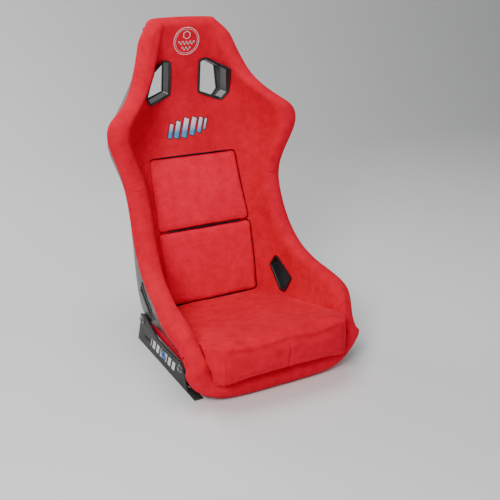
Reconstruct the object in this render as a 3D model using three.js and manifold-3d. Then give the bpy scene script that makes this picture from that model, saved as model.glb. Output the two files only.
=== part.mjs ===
// Fixed-back racing bucket seat with a glass-fibre shell, foam covers, loose pads and side brackets.
// Millimetres, +Z up, the seat faces -Y, symmetric about X = 0, z = 0 under the brackets.
import * as THREE from "three";
import { toCreasedNormals } from "three/addons/utils/BufferGeometryUtils.js";
import Module from "manifold-3d";

const wasm = await Module();
wasm.setup();
const { CrossSection, Manifold } = wasm;

// ---------------------------------------------------------------- driving dimensions
const SHIFT_Y = 127; // moves the seat so that its box is centred on the origin
const FIT_GAP = 0.3; // clearance between neighbouring pieces
const SMALLEST_DETAIL = 0.06; // slivers thinner than this are merged away
const SHELL_THICKNESS = 4;
const SHELL_INSET = 6; // how far the shell's edge lies inside the rolled rim
const RETURN_THICKNESS = 2.6; // cover folded onto the shell's outside
const RETURN_REACH = 0.07; // share of the half profile that the fold covers
const PAD_DEPTH = 26;
const PAD_EDGE = 0.6; // how far a pad's edge stands above the covers
const PAD_CROWN = 4;
const PATCH_THICKNESS = 1.2;
const CREASE_ANGLE = 0.6; // faces that meet at more than this many radians are shaded flat
const BRACKET = { outer: 228, plate: 4, flange: 24, hole: 8.8, corner: 5, slotCorner: 4 };
const BOLT = { shank: 8, head: 14, headHeight: 5, washer: 24, washerHeight: 2, end: 188, slack: 0.4 };
const SPACER = { radius: 15, from: 200 };
const INSERT = { radius: 14, from: 194, to: 214 }; // cut back to what lies inside the shell
const BORE = { from: 150, to: 260 }; // how far the drilled holes reach along X

// Stations along the seat's centre line, from the front lip to the head's top. Each holds the visible
// centre line (y, z), the walls' direction (tilt from +Z towards -Y), the flat half width, the rim's
// crown (half width and rise), the rim roll's half thickness and reach, the depth of the shell
// behind the centre line, how far round the roll the shell's edge lies (degrees), and how boxy the
// shell is there, from 0 for sides that flare out to 1 for upright sides.
const STATIONS = [
  [-392, 66, 2, 166, 230, 72, 32, 24, 58, 30, 0.5],
  [-345, 54, 10, 164, 236, 134, 30, 28, 43, 25, 0.1],
  [-270, 49, 20, 162, 239, 169, 31, 30, 36, 20, 0],
  [-200, 48, 30, 160, 239, 195, 31, 30, 35, 20, 0],
  [-130, 49, 39, 160, 238, 223, 31, 30, 36, 20, 0],
  [-70, 52, 46, 158, 236, 251, 30, 30, 48, 20, 0.1],
  [-28, 69, 51, 158, 233, 258, 30, 30, 70, 20, 0.3],
  [-10, 108, 55, 159, 229, 226, 30, 30, 84, 20, 0.6],
  [-5, 160, 60, 161, 224, 177, 30, 30, 80, 20, 0.9],
  [8, 225, 66, 163, 216, 122, 30, 30, 72, 20, 1],
  [28, 295, 69, 164, 209, 88, 30, 30, 60, 20, 1],
  [50, 355, 70, 164, 205, 82, 30, 30, 55, 20, 1],
  [71, 410, 70, 163, 203, 80, 30, 30, 54, 20, 1],
  [89, 460, 71, 160, 213, 93, 30, 30, 53, 20, 1],
  [107, 510, 71, 152, 238, 122, 30, 30, 53, 20, 1],
  [124, 555, 72, 134, 258, 150, 30, 30, 53, 20, 1],
  [140, 600, 75, 112, 247, 164, 30, 30, 54, 20, 1],
  [153, 645, 78, 100, 208, 147, 30, 30, 54, 25, 1],
  [160, 690, 81, 92, 172, 117, 30, 30, 52, 35, 1],
  [155, 732, 84, 85, 148, 86, 30, 28, 50, 45, 1],
  [146, 775, 86, 78, 131, 61, 30, 27, 50, 55, 1],
  [135, 815, 88, 74, 118, 36, 30, 26, 52, 60, 1],
  [127, 850, 90, 72, 108, 18, 30, 24, 54, 65, 1],
  [124, 868, 91, 70, 104, 10, 30, 20, 53, 70, 1],
].map(([y, z, tilt, flat, crown, rise, roll, reach, depth, wrap, boxy]) => {
  const lean = THREE.MathUtils.degToRad(tilt);
  return {
    origin: new THREE.Vector3(0, y + SHIFT_Y, z),
    wall: new THREE.Vector3(0, -Math.sin(lean), Math.cos(lean)),
    flat, crown, rise, roll, reach, depth, boxy,
    wrap: THREE.MathUtils.degToRad(wrap),
  };
});

// The outline's corners are rounded over these shares of v; each face keeps this share of its half
// width where its corner starts.
const LIP_SPAN = 0.075;
const HEAD_SPAN = 0.05;
const COVER_CORNERS = { lip: 0.78, head: 0.7 };
const SHELL_CORNERS = { lip: 0.85, head: 0.66 };

const HALF_COLUMNS = [0, 0.22, 0.42, 0.54, 0.66, 0.76, 0.85, 0.93, 1];
const COLUMNS = [...HALF_COLUMNS.slice(1).reverse().map((u) => -u), ...HALF_COLUMNS];
const CORNER_STEPS = 4;
const MIDDLE_STEPS = 21;

// ---------------------------------------------------------------- spline surfaces
// Weights of a uniform cubic B-spline that starts and ends on its first and last control values.
function splineWeights(count, t) {
  const span = Math.min(Math.max(Math.floor(t), 0), count - 2);
  const f = t - span;
  const basis = [
    (1 - f) ** 3 / 6,
    (3 * f ** 3 - 6 * f ** 2 + 4) / 6,
    (-3 * f ** 3 + 3 * f ** 2 + 3 * f + 1) / 6,
    f ** 3 / 6,
  ];
  const weights = new Map();
  const add = (index, weight) => weights.set(index, (weights.get(index) ?? 0) + weight);
  basis.forEach((weight, k) => {
    const index = span + k - 1;
    if (index < 0) {
      add(0, 2 * weight);
      add(1, -weight);
    } else if (index > count - 1) {
      add(count - 1, 2 * weight);
      add(count - 2, -weight);
    } else add(index, weight);
  });
  return weights;
}

function stationValue(key, v) {
  let sum = 0;
  for (const [index, weight] of splineWeights(STATIONS.length, v * (STATIONS.length - 1)))
    sum += weight * STATIONS[index][key];
  return sum;
}

// Share of the half width that an outline keeps near its rounded corners.
function cornerTrim(v, corners) {
  const rounded = (share, s) => share + (1 - share) * Math.sqrt(Math.max(0, 1 - s * s));
  if (v < LIP_SPAN) return rounded(corners.lip, 1 - v / LIP_SPAN);
  if (v > 1 - HEAD_SPAN) return rounded(corners.head, 1 - (1 - v) / HEAD_SPAN);
  return 1;
}

// A surface from one half profile per station: (x, g) pairs, g along the station's wall direction.
// Its points are found by column, -1 to 1 across the rounded outline, and row, 0 to 1 from the lip.
function makeSurface(halfProfile, corners) {
  const rows = STATIONS.map((station) => {
    const half = halfProfile(station).map(([x, g]) =>
      station.origin.clone().addScaledVector(station.wall, g).setX(x));
    const mirrored = half.slice(1).reverse().map((p) => p.clone().setX(-p.x));
    return [...mirrored, ...half];
  });
  const spline = (u, v) => {
    const across = splineWeights(rows[0].length, ((u + 1) / 2) * (rows[0].length - 1));
    const along = splineWeights(rows.length, v * (rows.length - 1));
    const sum = new THREE.Vector3();
    for (const [i, wi] of along)
      for (const [j, wj] of across) sum.addScaledVector(rows[i][j], wi * wj);
    return sum;
  };
  const step = 1e-3;
  const point = (column, v) => spline(column * cornerTrim(v, corners), v);
  const normal = (column, v) => {
    const u = column * cornerTrim(v, corners);
    const du = spline(u + step, v).sub(spline(u - step, v));
    const dv = spline(u, v + step).sub(spline(u, v - step));
    return du.cross(dv).normalize();
  };
  const offset = (distance) => (column, v) =>
    point(column, v).addScaledVector(normal(column, v), distance);
  return { point, normal, offset };
}

// The visible upholstery: flat middle, upright wall, inner quarter of the rolled rim.
const upholstery = makeSurface(({ flat, crown, rise, roll }) => {
  const inner = crown - roll;
  const foot = flat + 0.55 * (inner - flat);
  return [
    [0, 0],
    [0.5 * flat, 0],
    [0.9 * flat, 0],
    [foot, 0.18 * rise],
    [inner + 0.05 * roll, Math.max(0.62 * (rise - 0.55 * roll), 0.3 * rise)],
    [inner + 0.22 * roll, rise - 0.12 * roll],
    [crown, rise],
  ];
}, COVER_CORNERS);

// The shell's outer face, ending beside the rolled rim.
const shellFace = makeSurface(({ flat, crown, rise, roll, depth, wrap, boxy }) => {
  const edgeX = crown + (roll - SHELL_INSET) * Math.cos(wrap);
  const edgeRise = rise - roll - (roll - SHELL_INSET) * Math.sin(wrap);
  const height = edgeRise + depth;
  const side = edgeX - flat;
  return [
    [0, -depth],
    [0.5 * flat, -depth],
    [0.95 * flat, -depth],
    [flat + (0.4 + 0.22 * boxy) * side, -depth + 0.05 * height],
    [edgeX - (0.5 - 0.38 * boxy) * side, -depth + 0.4 * height],
    [edgeX - (0.12 - 0.09 * boxy) * side, -depth + 0.75 * height],
    [edgeX, edgeRise],
  ];
}, SHELL_CORNERS);

function rowLevels() {
  const bend = (k) => 1 - Math.sin((Math.PI / 2) * (1 - k / CORNER_STEPS));
  const lip = Array.from({ length: CORNER_STEPS }, (_, k) => LIP_SPAN * bend(k));
  const head = lip.map((v) => 1 - (v * HEAD_SPAN) / LIP_SPAN).reverse();
  const length = 1 - LIP_SPAN - HEAD_SPAN;
  const middle = Array.from({ length: MIDDLE_STEPS + 1 }, (_, k) =>
    LIP_SPAN + (length * k) / MIDDLE_STEPS);
  return [...lip, ...middle, ...head];
}
const ROWS = rowLevels();

// ---------------------------------------------------------------- closed sheets
// A closed solid between two faces given over the same grid, with rings round its edge between them.
function sheetSolid({ front, back, columns = COLUMNS, rows = ROWS, rings = () => [] }) {
  const positions = [];
  const triangles = [];
  const addPoint = (p) => positions.push(p.x, p.y, p.z) / 3 - 1;
  const halves = ([a, b, c, d], flip) => (flip ? [[b, c, d], [b, d, a]] : [[a, b, c], [a, c, d]]);
  const addQuad = (corners, flip = false) => triangles.push(...halves(corners, flip).flat());
  const addReversed = (corners, flip) =>
    triangles.push(...halves(corners, flip).flatMap(([a, b, c]) => [a, c, b]));
  const grid = (face) => rows.map((v) => columns.map((u) => addPoint(face(u, v))));
  const frontGrid = grid(front);
  const backGrid = grid(back);
  const cell = (g, i, j) => [g[i][j], g[i][j + 1], g[i + 1][j + 1], g[i + 1][j]];
  for (let i = 0; i + 1 < rows.length; i++)
    for (let j = 0; j + 1 < columns.length; j++) {
      addQuad(cell(frontGrid, i, j), columns[j] < 0);
      addReversed(cell(backGrid, i, j), columns[j] < 0);
    }
  const last = { row: rows.length - 1, column: columns.length - 1 };
  const cells = [
    ...columns.map((_, j) => [0, j]),
    ...rows.slice(1).map((_, i) => [i + 1, last.column]),
    ...columns.slice(1).map((_, j) => [last.row, last.column - 1 - j]),
    ...rows.slice(2).map((_, i) => [last.row - 1 - i, 0]),
  ];
  const loop = cells.map(([i, j]) => [columns[j], rows[i]]);
  const rims = [
    cells.map(([i, j]) => frontGrid[i][j]),
    ...rings(loop).map((ring) => ring.map(addPoint)),
    cells.map(([i, j]) => backGrid[i][j]),
  ];
  for (let ring = 0; ring + 1 < rims.length; ring++)
    loop.forEach((_, k) => {
      const next = (k + 1) % loop.length;
      addQuad([rims[ring][k], rims[ring + 1][k], rims[ring + 1][next], rims[ring][next]]);
    });
  const vertProperties = new Float32Array(positions);
  const triVerts = new Uint32Array(triangles);
  return new Manifold(new wasm.Mesh({ numProp: 3, vertProperties, triVerts }));
}

// The rolled rim's frame at each point of the edge loop.
function rimFrames(loop) {
  const crowns = loop.map(([u, v]) => upholstery.point(u, v));
  return loop.map(([u, v], k) => {
    const after = crowns[(k + 1) % loop.length];
    const before = crowns[(k + loop.length - 1) % loop.length];
    const normal = upholstery.normal(u, v);
    const ahead = after.clone().sub(crowns[k]).normalize();
    const behind = crowns[k].clone().sub(before).normalize();
    const outward = ahead.add(behind).cross(normal).normalize();
    const roll = stationValue("roll", v);
    const reach = stationValue("reach", v);
    const centre = crowns[k].clone().addScaledVector(normal, -roll);
    const edge = shellFace.point(u, v).sub(centre);
    const end = Math.atan2(edge.dot(outward) / reach, edge.dot(normal) / roll);
    return { centre, normal, outward, roll, reach, end: end < 0 ? end + 2 * Math.PI : end };
  });
}

const ROLL_STEPS = 4;
function rollRings(loop) {
  const frames = rimFrames(loop);
  const rings = [];
  for (let step = 1; step <= ROLL_STEPS; step++)
    rings.push(frames.map(({ centre, normal, outward, roll, reach, end }) => {
      const angle = (end * step) / ROLL_STEPS;
      return centre.clone()
        .addScaledVector(normal, roll * Math.cos(angle))
        .addScaledVector(outward, reach * Math.sin(angle));
    }));
  rings.push(loop.map(([u, v]) => shellFace.offset(-RETURN_THICKNESS)(...foldedIn(u, v))));
  return rings;
}

// Where the cover's fold ends on the shell's outside, for a point of the outline.
function foldedIn(u, v) {
  return [u * (1 - RETURN_REACH), RETURN_REACH / 3 + v * (1 - (2 * RETURN_REACH) / 3)];
}

// The shell grown by a clearance on every side, so that what is cut with it never touches the shell.
const EDGE_CLEARANCE = 4; // the gap past the shell's edge, in clearances
function shellSolid(clearance = 0) {
  const inner = shellFace.offset(SHELL_THICKNESS + clearance);
  const outer = shellFace.offset(-clearance);
  const pushed = (face) => (loop) => loop.map(([column, v]) => {
    const edge = face(column, v);
    const outward = edge.clone().sub(face(...foldedIn(column, v))).normalize();
    return edge.addScaledVector(outward, EDGE_CLEARANCE * clearance);
  });
  const rings = (loop) => (clearance ? [pushed(inner)(loop), pushed(outer)(loop)] : []);
  return sheetSolid({ front: inner, back: outer, rings });
}

// The whole upholstery and the shell's space in one: front, rolled rim, fold.
function upholsteredSolid(clearance = 0) {
  const middle = shellFace.offset(SHELL_THICKNESS / 2);
  return sheetSolid({
    front: upholstery.offset(clearance),
    back: (u, v) => middle(...foldedIn(u, v)),
    rings: rollRings,
  });
}

// ---------------------------------------------------------------- small tools
const grow = (section, distance) => section.offset(distance, "Round", 2, 12).simplify(0.25);
const rounded = (section, radius) => grow(grow(section, -radius), radius);
const FORWARDS = [1, 0, 0, 0, 0, 0, 1, 0, 0, -1, 0, 0, 0, 0, 0, 1]; // section (x, z), extruded along Y
const SIDEWAYS = [0, 1, 0, 0, 0, 0, 1, 0, 1, 0, 0, 0, 0, 0, 0, 1]; // section (y, z), extruded along X

function prismAlongY(section, from, to) {
  return section.extrude(to - from).transform(FORWARDS).translate([0, to, 0]);
}
function prismAlongX(section, from, to) {
  return section.extrude(to - from).transform(SIDEWAYS).translate([from, 0, 0]);
}
function discAlongX(radius, y, z, from, to, sides = 16) {
  return prismAlongX(CrossSection.circle(radius, sides).translate([y, z]), from, to);
}
const mirrored = (solid) => solid.mirror([1, 0, 0]);
const ringSection = (outline, inset) => outline.subtract(grow(outline, -inset));
const cut = (solid, ...tools) => tools.reduce((left, tool) => left.subtract(tool), solid);

// The row whose point on the middle line has this height, above the bend of the seat.
function rowAtHeight(z) {
  let [low, high] = [0.25, 1];
  for (let step = 0; step < 30; step++) {
    const middle = (low + high) / 2;
    if (upholstery.point(0, middle).z < z) low = middle;
    else high = middle;
  }
  return low;
}
// The column whose point in a row has this half width.
function columnAtWidth(x, row) {
  let [low, high] = [0, 1];
  for (let step = 0; step < 30; step++) {
    const middle = (low + high) / 2;
    if (upholstery.point(middle, row).x < x) low = middle;
    else high = middle;
  }
  return low;
}
const between = (from, to, steps) =>
  Array.from({ length: steps + 1 }, (_, k) => from + ((to - from) * k) / steps);

// A skin over the upholstery between two heights above it.
const coverSkin = (low, high) =>
  sheetSolid({ front: upholstery.offset(high), back: upholstery.offset(low) });
const shellSkin = (low, high) =>
  sheetSolid({ front: shellFace.offset(-low), back: shellFace.offset(-high) });

// ---------------------------------------------------------------- back pads and their strips
const BACK_PADS = {
  upper_back_pad: { bottom: 309, top: 506, widthBottom: 147, widthTop: 137 },
  lower_back_pad: { bottom: 100, top: 307, widthBottom: 147, widthTop: 149 },
};

// A pad over a patch of the upholstery: crowned on top, its edges tucked down.
function padSolid({ bottom, top, widthBottom, widthTop }, clearance = 0) {
  const rowFrom = rowAtHeight(bottom);
  const rowTo = rowAtHeight(top);
  const slack = clearance / (top - bottom);
  const place = (s, t) => {
    const t2 = t * (1 + 2 * slack) - slack;
    const row = rowFrom + (rowTo - rowFrom) * t2;
    const width = widthBottom + (widthTop - widthBottom) * t + clearance;
    return [Math.sign(s) * columnAtWidth(Math.abs(s) * width, row), row];
  };
  const crown = (s, t) => PAD_EDGE + PAD_CROWN * (1 - s ** 6) * (1 - (2 * t - 1) ** 6);
  const face = (height) => (s, t) => {
    const [column, row] = place(s, t);
    return upholstery.offset(height(s, t))(column, row);
  };
  return sheetSolid({
    front: face((s, t) => crown(s, t) + clearance),
    back: face(() => -PAD_DEPTH - clearance),
    columns: [-1, -0.9, -0.6, 0, 0.6, 0.9, 1],
    rows: between(0, 1, 6),
  });
}

// A hook-and-loop strip between a pad and the foam behind it.
const STRIP = { x: 85, width: 25, thickness: 2, margin: 35 };
function stripSolid({ bottom, top }, clearance = 0) {
  const halfWidth = STRIP.width / 2 + clearance;
  const rows = between(bottom + STRIP.margin, top - STRIP.margin, 5);
  const heights = clearance ? [rows[0] - clearance, ...rows, rows.at(-1) + clearance] : rows;
  const high = -PAD_DEPTH - FIT_GAP;
  const face = (height) => (s, row) =>
    upholstery.offset(height)(columnAtWidth(STRIP.x + s * halfWidth, row), row);
  return sheetSolid({
    front: face(high + clearance),
    back: face(high - STRIP.thickness - clearance),
    columns: between(-1, 1, 1),
    rows: heights.map(rowAtHeight),
  });
}

// ---------------------------------------------------------------- seat cushion
const CUSHION = {
  rear: -16, front: -450, base: 51, width: 214, noseWidth: 180, rearTop: 103, crest: 178, bow: 12,
  nose: 0.84, // share of the length where the nose starts to narrow
  edgeDrop: 10, undercutSides: 16, undercutMiddle: 28, thighX: 95, thighDip: 5,
};
const noseShare = (along) => Math.max(0, (along - CUSHION.nose) / (1 - CUSHION.nose));

function cushionHeight(x, along) {
  const thigh = Math.min(Math.abs(x) / CUSHION.thighX, 2);
  const dip = CUSHION.thighDip * along ** 2 * Math.sin((Math.PI / 2) * thigh) ** 2;
  return CUSHION.rearTop + (CUSHION.crest - CUSHION.rearTop) * along ** 1.25 - dip;
}

// Half width of the cushion at a share of its length from the rear.
function cushionWidth(along) {
  return CUSHION.width - (CUSHION.width - CUSHION.noseWidth) * noseShare(along) ** 1.5;
}

function cushionSolid(clearance = 0) {
  const length = CUSHION.rear - CUSHION.front + 2 * clearance;
  const place = (s, t) => {
    const x = s * (cushionWidth(t) + clearance);
    const bow = CUSHION.bow * t ** 4 * (1 - s * s);
    return [x, CUSHION.rear + clearance - length * t - bow];
  };
  const edge = (s, t) => CUSHION.edgeDrop * Math.max(Math.abs(s) ** 10, t ** 24);
  const top = (s, t) => {
    const [x, y] = place(s, t);
    return new THREE.Vector3(x, y + SHIFT_Y, cushionHeight(x, t) - edge(s, t) + clearance);
  };
  const { undercutSides, undercutMiddle } = CUSHION;
  const base = (s, t) => {
    const [x, y] = place(s, t);
    const lift = (undercutMiddle - (undercutMiddle - undercutSides) * s * s) * noseShare(t) ** 0.8;
    return new THREE.Vector3(x, y + SHIFT_Y, CUSHION.base + lift - clearance);
  };
  return sheetSolid({
    front: (s, t) => top(s, 1 - t),
    back: (s, t) => base(s, 1 - t),
    columns: between(-1, 1, 12),
    rows: [...between(0, 1 - CUSHION.nose, 3), ...between(1 - CUSHION.nose, 1, 9).slice(1)],
  });
}

// A thin pocket panel on the cushion's front face.
const POCKET = { inner: 3, outer: 158, low: 92, high: 152, gap: 0.7, thickness: 3 };
function pocketSolid(side) {
  const face = (stand) => (s, t) => {
    const x = side * (POCKET.inner + (POCKET.outer - POCKET.inner) * (side * s + 1) / 2);
    const bow = CUSHION.bow * (1 - (x / CUSHION.noseWidth) ** 2);
    const z = POCKET.low + (POCKET.high - POCKET.low) * t;
    return new THREE.Vector3(x, CUSHION.front - bow - stand + SHIFT_Y, z);
  };
  return sheetSolid({
    front: face(POCKET.gap + POCKET.thickness),
    back: face(POCKET.gap),
    columns: between(-1, 1, 6),
    rows: [0, 1],
  });
}

// ---------------------------------------------------------------- harness openings
const BEZEL = { flange: 7, wall: 2.4, stand: 3, sleeve: 40, rearStand: 2.5 };
const shoulderOutline = rounded(
  new CrossSection([[43, 676], [113, 650], [132, 676], [120, 751], [66, 780], [43, 773]]), 11);
const lapOutline = rounded(new CrossSection([
  [-139, 165], [-116, 113], [-92, 115], [-43, 181], [-64, 221], [-98, 195],
].map(([y, z]) => [y + SHIFT_Y, z])), 11);

// Front or inner bezel: a flange on the upholstery with a sleeve into the foam.
function coverBezel(outline, prism) {
  const opening = ringSection(grow(outline, -BEZEL.flange + BEZEL.wall), BEZEL.wall);
  const flange = prism(ringSection(outline, BEZEL.flange)).intersect(coverSkin(FIT_GAP, BEZEL.stand));
  const sleeve = prism(opening).intersect(coverSkin(-BEZEL.sleeve, BEZEL.stand));
  return cut(flange.add(sleeve), shellSolid(FIT_GAP));
}

// Rear or outer bezel: a flange on the shell's outside with a short lip into the shell's opening.
function shellBezel(outline, prism) {
  const opening = ringSection(grow(outline, -BEZEL.flange + BEZEL.wall), BEZEL.wall);
  const flange = prism(ringSection(outline, BEZEL.flange))
    .intersect(shellSkin(FIT_GAP, BEZEL.rearStand));
  const lip = prism(opening).intersect(shellSkin(-SHELL_THICKNESS, BEZEL.rearStand));
  return flange.add(lip);
}

// What a bezel's sleeve needs cleared.
const clearance = (outline) => grow(outline, -BEZEL.flange + BEZEL.wall + 3 * FIT_GAP);
const shoulderPrism = (section) => prismAlongY(section, -60, 420); // from in front of to behind the head
const lapPrism = (section) => prismAlongX(section, 150, 300); // through one side of the seat

// ---------------------------------------------------------------- side mounts
const atMount = ([y, z]) => [y + SHIFT_Y, z];
const MOUNT_POINTS = { rear: [-24, 80], front: [-288, 52] };
const bracketOutline = [
  [22, 0], [-4, 66], [-8, 92], [-20, 98], [-40, 96], [-54, 94], [-96, 80], [-132, 66], [-203, 64],
  [-262, 66], [-280, 71], [-298, 67], [-311, 40], [-322, 10], [-372, 8], [-372, 0],
].map(atMount);

function bracketSolid() {
  const { outer, plate, flange, hole } = BRACKET;
  const holes = Object.values(MOUNT_POINTS).map((point) =>
    CrossSection.circle(hole / 2, 12).translate(atMount(point)));
  const slot = (size) => rounded(CrossSection.square(size, true), BRACKET.slotCorner);
  const webSlot = slot([34, 10]).translate([-60 + SHIFT_Y, 34]);
  const side = cut(rounded(new CrossSection([bracketOutline]), BRACKET.corner), ...holes, webSlot);
  const web = prismAlongX(side, outer - plate, outer);
  const footSection = [[-372, 0], [22, 0], [20, plate], [-370, plate]].map(atMount);
  const foot = prismAlongX(new CrossSection([footSection]), outer - flange, outer);
  const footSlots = [-40, -300].map((y) =>
    slot([10, 26]).extrude(plate + 2).translate([outer - flange / 2 - 1, y + SHIFT_Y, -1]));
  return cut(web.add(foot), ...footSlots);
}

// The two outermost bodies that a cut leaves along X.
const byX = (solid) => solid.decompose().filter((body) => body.volume() > 100)
  .sort((a, b) => a.boundingBox().max[0] - b.boundingBox().max[0]);
const outerBody = (solid) => byX(solid).at(-1);
const innerBody = (solid) => byX(solid)[0];
const boreAt = (y, z) => discAlongX(BOLT.shank / 2 + BOLT.slack, y, z, BORE.from, BORE.to, 12);

// The fastener stack at one mount point, from outside to inside.
function fastenerSolids(name, point, shellClear) {
  const [y, z] = atMount(point);
  const { outer, plate } = BRACKET;
  const bore = boreAt(y, z);
  const washerFrom = outer + FIT_GAP;
  const headFrom = washerFrom + BOLT.washerHeight + FIT_GAP;
  const washer = discAlongX(BOLT.washer / 2, y, z, washerFrom, washerFrom + BOLT.washerHeight);
  const head = prismAlongX(CrossSection.circle(BOLT.head / 2, 6).translate([y, z]),
    headFrom, headFrom + BOLT.headHeight);
  const shank = discAlongX(BOLT.shank / 2, y, z, BOLT.end, headFrom + 1, 12);
  const spacerTo = outer - plate - FIT_GAP;
  const spacer = cut(discAlongX(SPACER.radius, y, z, SPACER.from, spacerTo), bore, shellClear);
  const insert = cut(discAlongX(INSERT.radius, y, z, INSERT.from, INSERT.to), bore, shellClear);
  return {
    [`${name}_bolt`]: head.add(shank),
    [`${name}_washer`]: washer.subtract(bore),
    [`${name}_spacer`]: outerBody(spacer),
    [`${name}_insert`]: innerBody(insert),
  };
}

// ---------------------------------------------------------------- looks
const LOOKS = {
  suede: ["#c4161f", 0.95, 0],
  foam: ["#3a3a3c", 0.9, 0],
  gelcoat: ["#77746a", 0.3, 0],
  black_plastic: ["#151515", 0.45, 0],
  black_steel: ["#2b2724", 0.55, 0.4],
  zinc: ["#9a9c9e", 0.35, 0.9],
  nylon: ["#1b1b1d", 0.9, 0],
  thread_white: ["#d9d9dc", 0.8, 0],
  thread_blue: ["#3f8fc4", 0.8, 0],
};
const makeMaterial = ([name, [color, roughness, metalness]]) =>
  [name, new THREE.MeshStandardMaterial({ name, color, roughness, metalness })];
const materials = Object.fromEntries(Object.entries(LOOKS).map(makeMaterial));

const group = new THREE.Group();
group.name = "racing_seat";
function addPiece(name, solid, look) {
  const body = solid.decompose().sort((a, b) => b.volume() - a.volume())[0].simplify(SMALLEST_DETAIL);
  const { vertProperties, triVerts } = body.getMesh();
  const geometry = new THREE.BufferGeometry();
  geometry.setAttribute("position", new THREE.BufferAttribute(vertProperties, 3));
  geometry.setIndex(new THREE.BufferAttribute(triVerts, 1));
  const mesh = new THREE.Mesh(toCreasedNormals(geometry, CREASE_ANGLE), materials[look]);
  mesh.name = name;
  group.add(mesh);
}

// ---------------------------------------------------------------- assembly
const shellClear = shellSolid(FIT_GAP);
const bothSides = (solid) => solid.add(mirrored(solid));
const shoulderHole = bothSides(shoulderPrism(clearance(shoulderOutline)));
const lapHole = bothSides(lapPrism(clearance(lapOutline)));

const fasteners = Object.entries(MOUNT_POINTS).flatMap(([name, point]) =>
  Object.entries(fastenerSolids(name, point, shellClear)));
const mountPlaces = Object.values(MOUNT_POINTS).map(atMount);
const boreTools = mountPlaces.map(([y, z]) => bothSides(boreAt(y, z)));
const insertPockets = mountPlaces.map(([y, z]) =>
  bothSides(discAlongX(INSERT.radius + FIT_GAP, y, z, INSERT.from - 8, BRACKET.outer)));

const shell = cut(shellSolid(), shoulderHole, lapHole, ...boreTools);
addPiece("shell", shell, "gelcoat");

const padPlans = Object.entries(BACK_PADS);
const seated = upholsteredSolid(FIT_GAP);
const cushionClear = cushionSolid(FIT_GAP);
const padTools = padPlans.map(([, plan]) => padSolid(plan, FIT_GAP));
const stripTools = padPlans.map(([, plan]) => bothSides(stripSolid(plan, 3 * FIT_GAP)));
const cover = cut(upholsteredSolid(), shellClear, shoulderHole, lapHole,
  ...padTools, ...stripTools, ...insertPockets);

// Seams between the covers: across the back above the pads, down the pads' sides, across the lip.
const UPPER_SEAM = { y: 106, z: 509, normal: [0, -0.44, 0.9] };
const LIP_SEAM_Y = -368;
const SIDE_SEAM_X = 118;
function planeOffset([nx, ny, nz], y, z) {
  return (ny * (y + SHIFT_Y) + nz * z) / Math.hypot(nx, ny, nz);
}
const opposite = (normal) => normal.map((n) => -n);
function splitCover(solid, normal, offset) {
  return [
    solid.trimByPlane(normal, offset + FIT_GAP / 2),
    solid.trimByPlane(opposite(normal), -offset + FIT_GAP / 2),
  ];
}
const upperOffset = planeOffset(UPPER_SEAM.normal, UPPER_SEAM.y, UPPER_SEAM.z);
const [upperCover, lowerCover] = splitCover(cover, UPPER_SEAM.normal, upperOffset);
const [mainCover, lipCover] = splitCover(lowerCover, [0, 1, 0], LIP_SEAM_Y + SHIFT_Y);
const [rightCover, restCover] = splitCover(mainCover, [1, 0, 0], SIDE_SEAM_X);
const [leftCover, middleCover] = splitCover(restCover, [-1, 0, 0], SIDE_SEAM_X);
addPiece("headrest_cover", upperCover, "suede");
addPiece("front_lip_cover", lipCover, "suede");
addPiece("right_bolster_cover", rightCover, "suede");
addPiece("left_bolster_cover", leftCover, "suede");
addPiece("centre_foam", middleCover, "foam");

for (const [name, plan] of padPlans) {
  addPiece(name, padSolid(plan).subtract(cushionClear), "suede");
  const strip = stripSolid(plan);
  addPiece(`${name}_strip_right`, strip, "nylon");
  addPiece(`${name}_strip_left`, mirrored(strip), "nylon");
}
addPiece("seat_cushion", cushionSolid().subtract(seated), "suede");
addPiece("front_pocket_right", pocketSolid(1), "suede");
addPiece("front_pocket_left", pocketSolid(-1), "suede");

const bezels = {
  shoulder_bezel_front: coverBezel(shoulderOutline, shoulderPrism),
  shoulder_bezel_rear: shellBezel(shoulderOutline, shoulderPrism),
  lap_bezel_inner: coverBezel(lapOutline, lapPrism),
  lap_bezel_outer: shellBezel(lapOutline, lapPrism),
};
const bracket = bracketSolid();
for (const [suffix, place] of [["right", (solid) => solid], ["left", mirrored]]) {
  for (const [name, solid] of Object.entries(bezels))
    addPiece(`${name}_${suffix}`, place(solid), "black_plastic");
  addPiece(`side_bracket_${suffix}`, place(bracket), "black_steel");
  for (const [name, solid] of fasteners)
    addPiece(`${name}_${suffix}`, place(solid), name.endsWith("spacer") ? "black_steel" : "zinc");
}

// Embroidered patches on the headrest and between the shoulders.
const EMBLEM = { z: 829, radius: 40 };
const STRIPES = { z: 580, halfWidth: 66, halfHeight: 26, slant: 16 };
const patchSkin = coverSkin(FIT_GAP, FIT_GAP + PATCH_THICKNESS);
const emblemSection = CrossSection.circle(EMBLEM.radius, 24).translate([0, EMBLEM.z]);
const { halfWidth, halfHeight, slant } = STRIPES;
const stripeSection = new CrossSection([[
  [-halfWidth - slant, -halfHeight], [halfWidth - slant, -halfHeight],
  [halfWidth + slant, halfHeight], [-halfWidth + slant, halfHeight],
]]).translate([0, STRIPES.z]);
addPiece("headrest_emblem", shoulderPrism(emblemSection).intersect(patchSkin), "thread_white");
addPiece("stripe_patch", shoulderPrism(stripeSection).intersect(patchSkin), "thread_blue");

export default group;
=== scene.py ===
"""Fixed-back racing bucket seat: red suede covers over a glass-fibre shell, loose pads, side brackets.

Shapes are worked out in millimetres and turned into metres when a mesh is made. +Z is up and the seat
faces -Y, as in the frame.
"""
import math

import bmesh
import bpy
import numpy as np
from mathutils import Matrix, Vector
from mathutils.bvhtree import BVHTree


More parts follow.
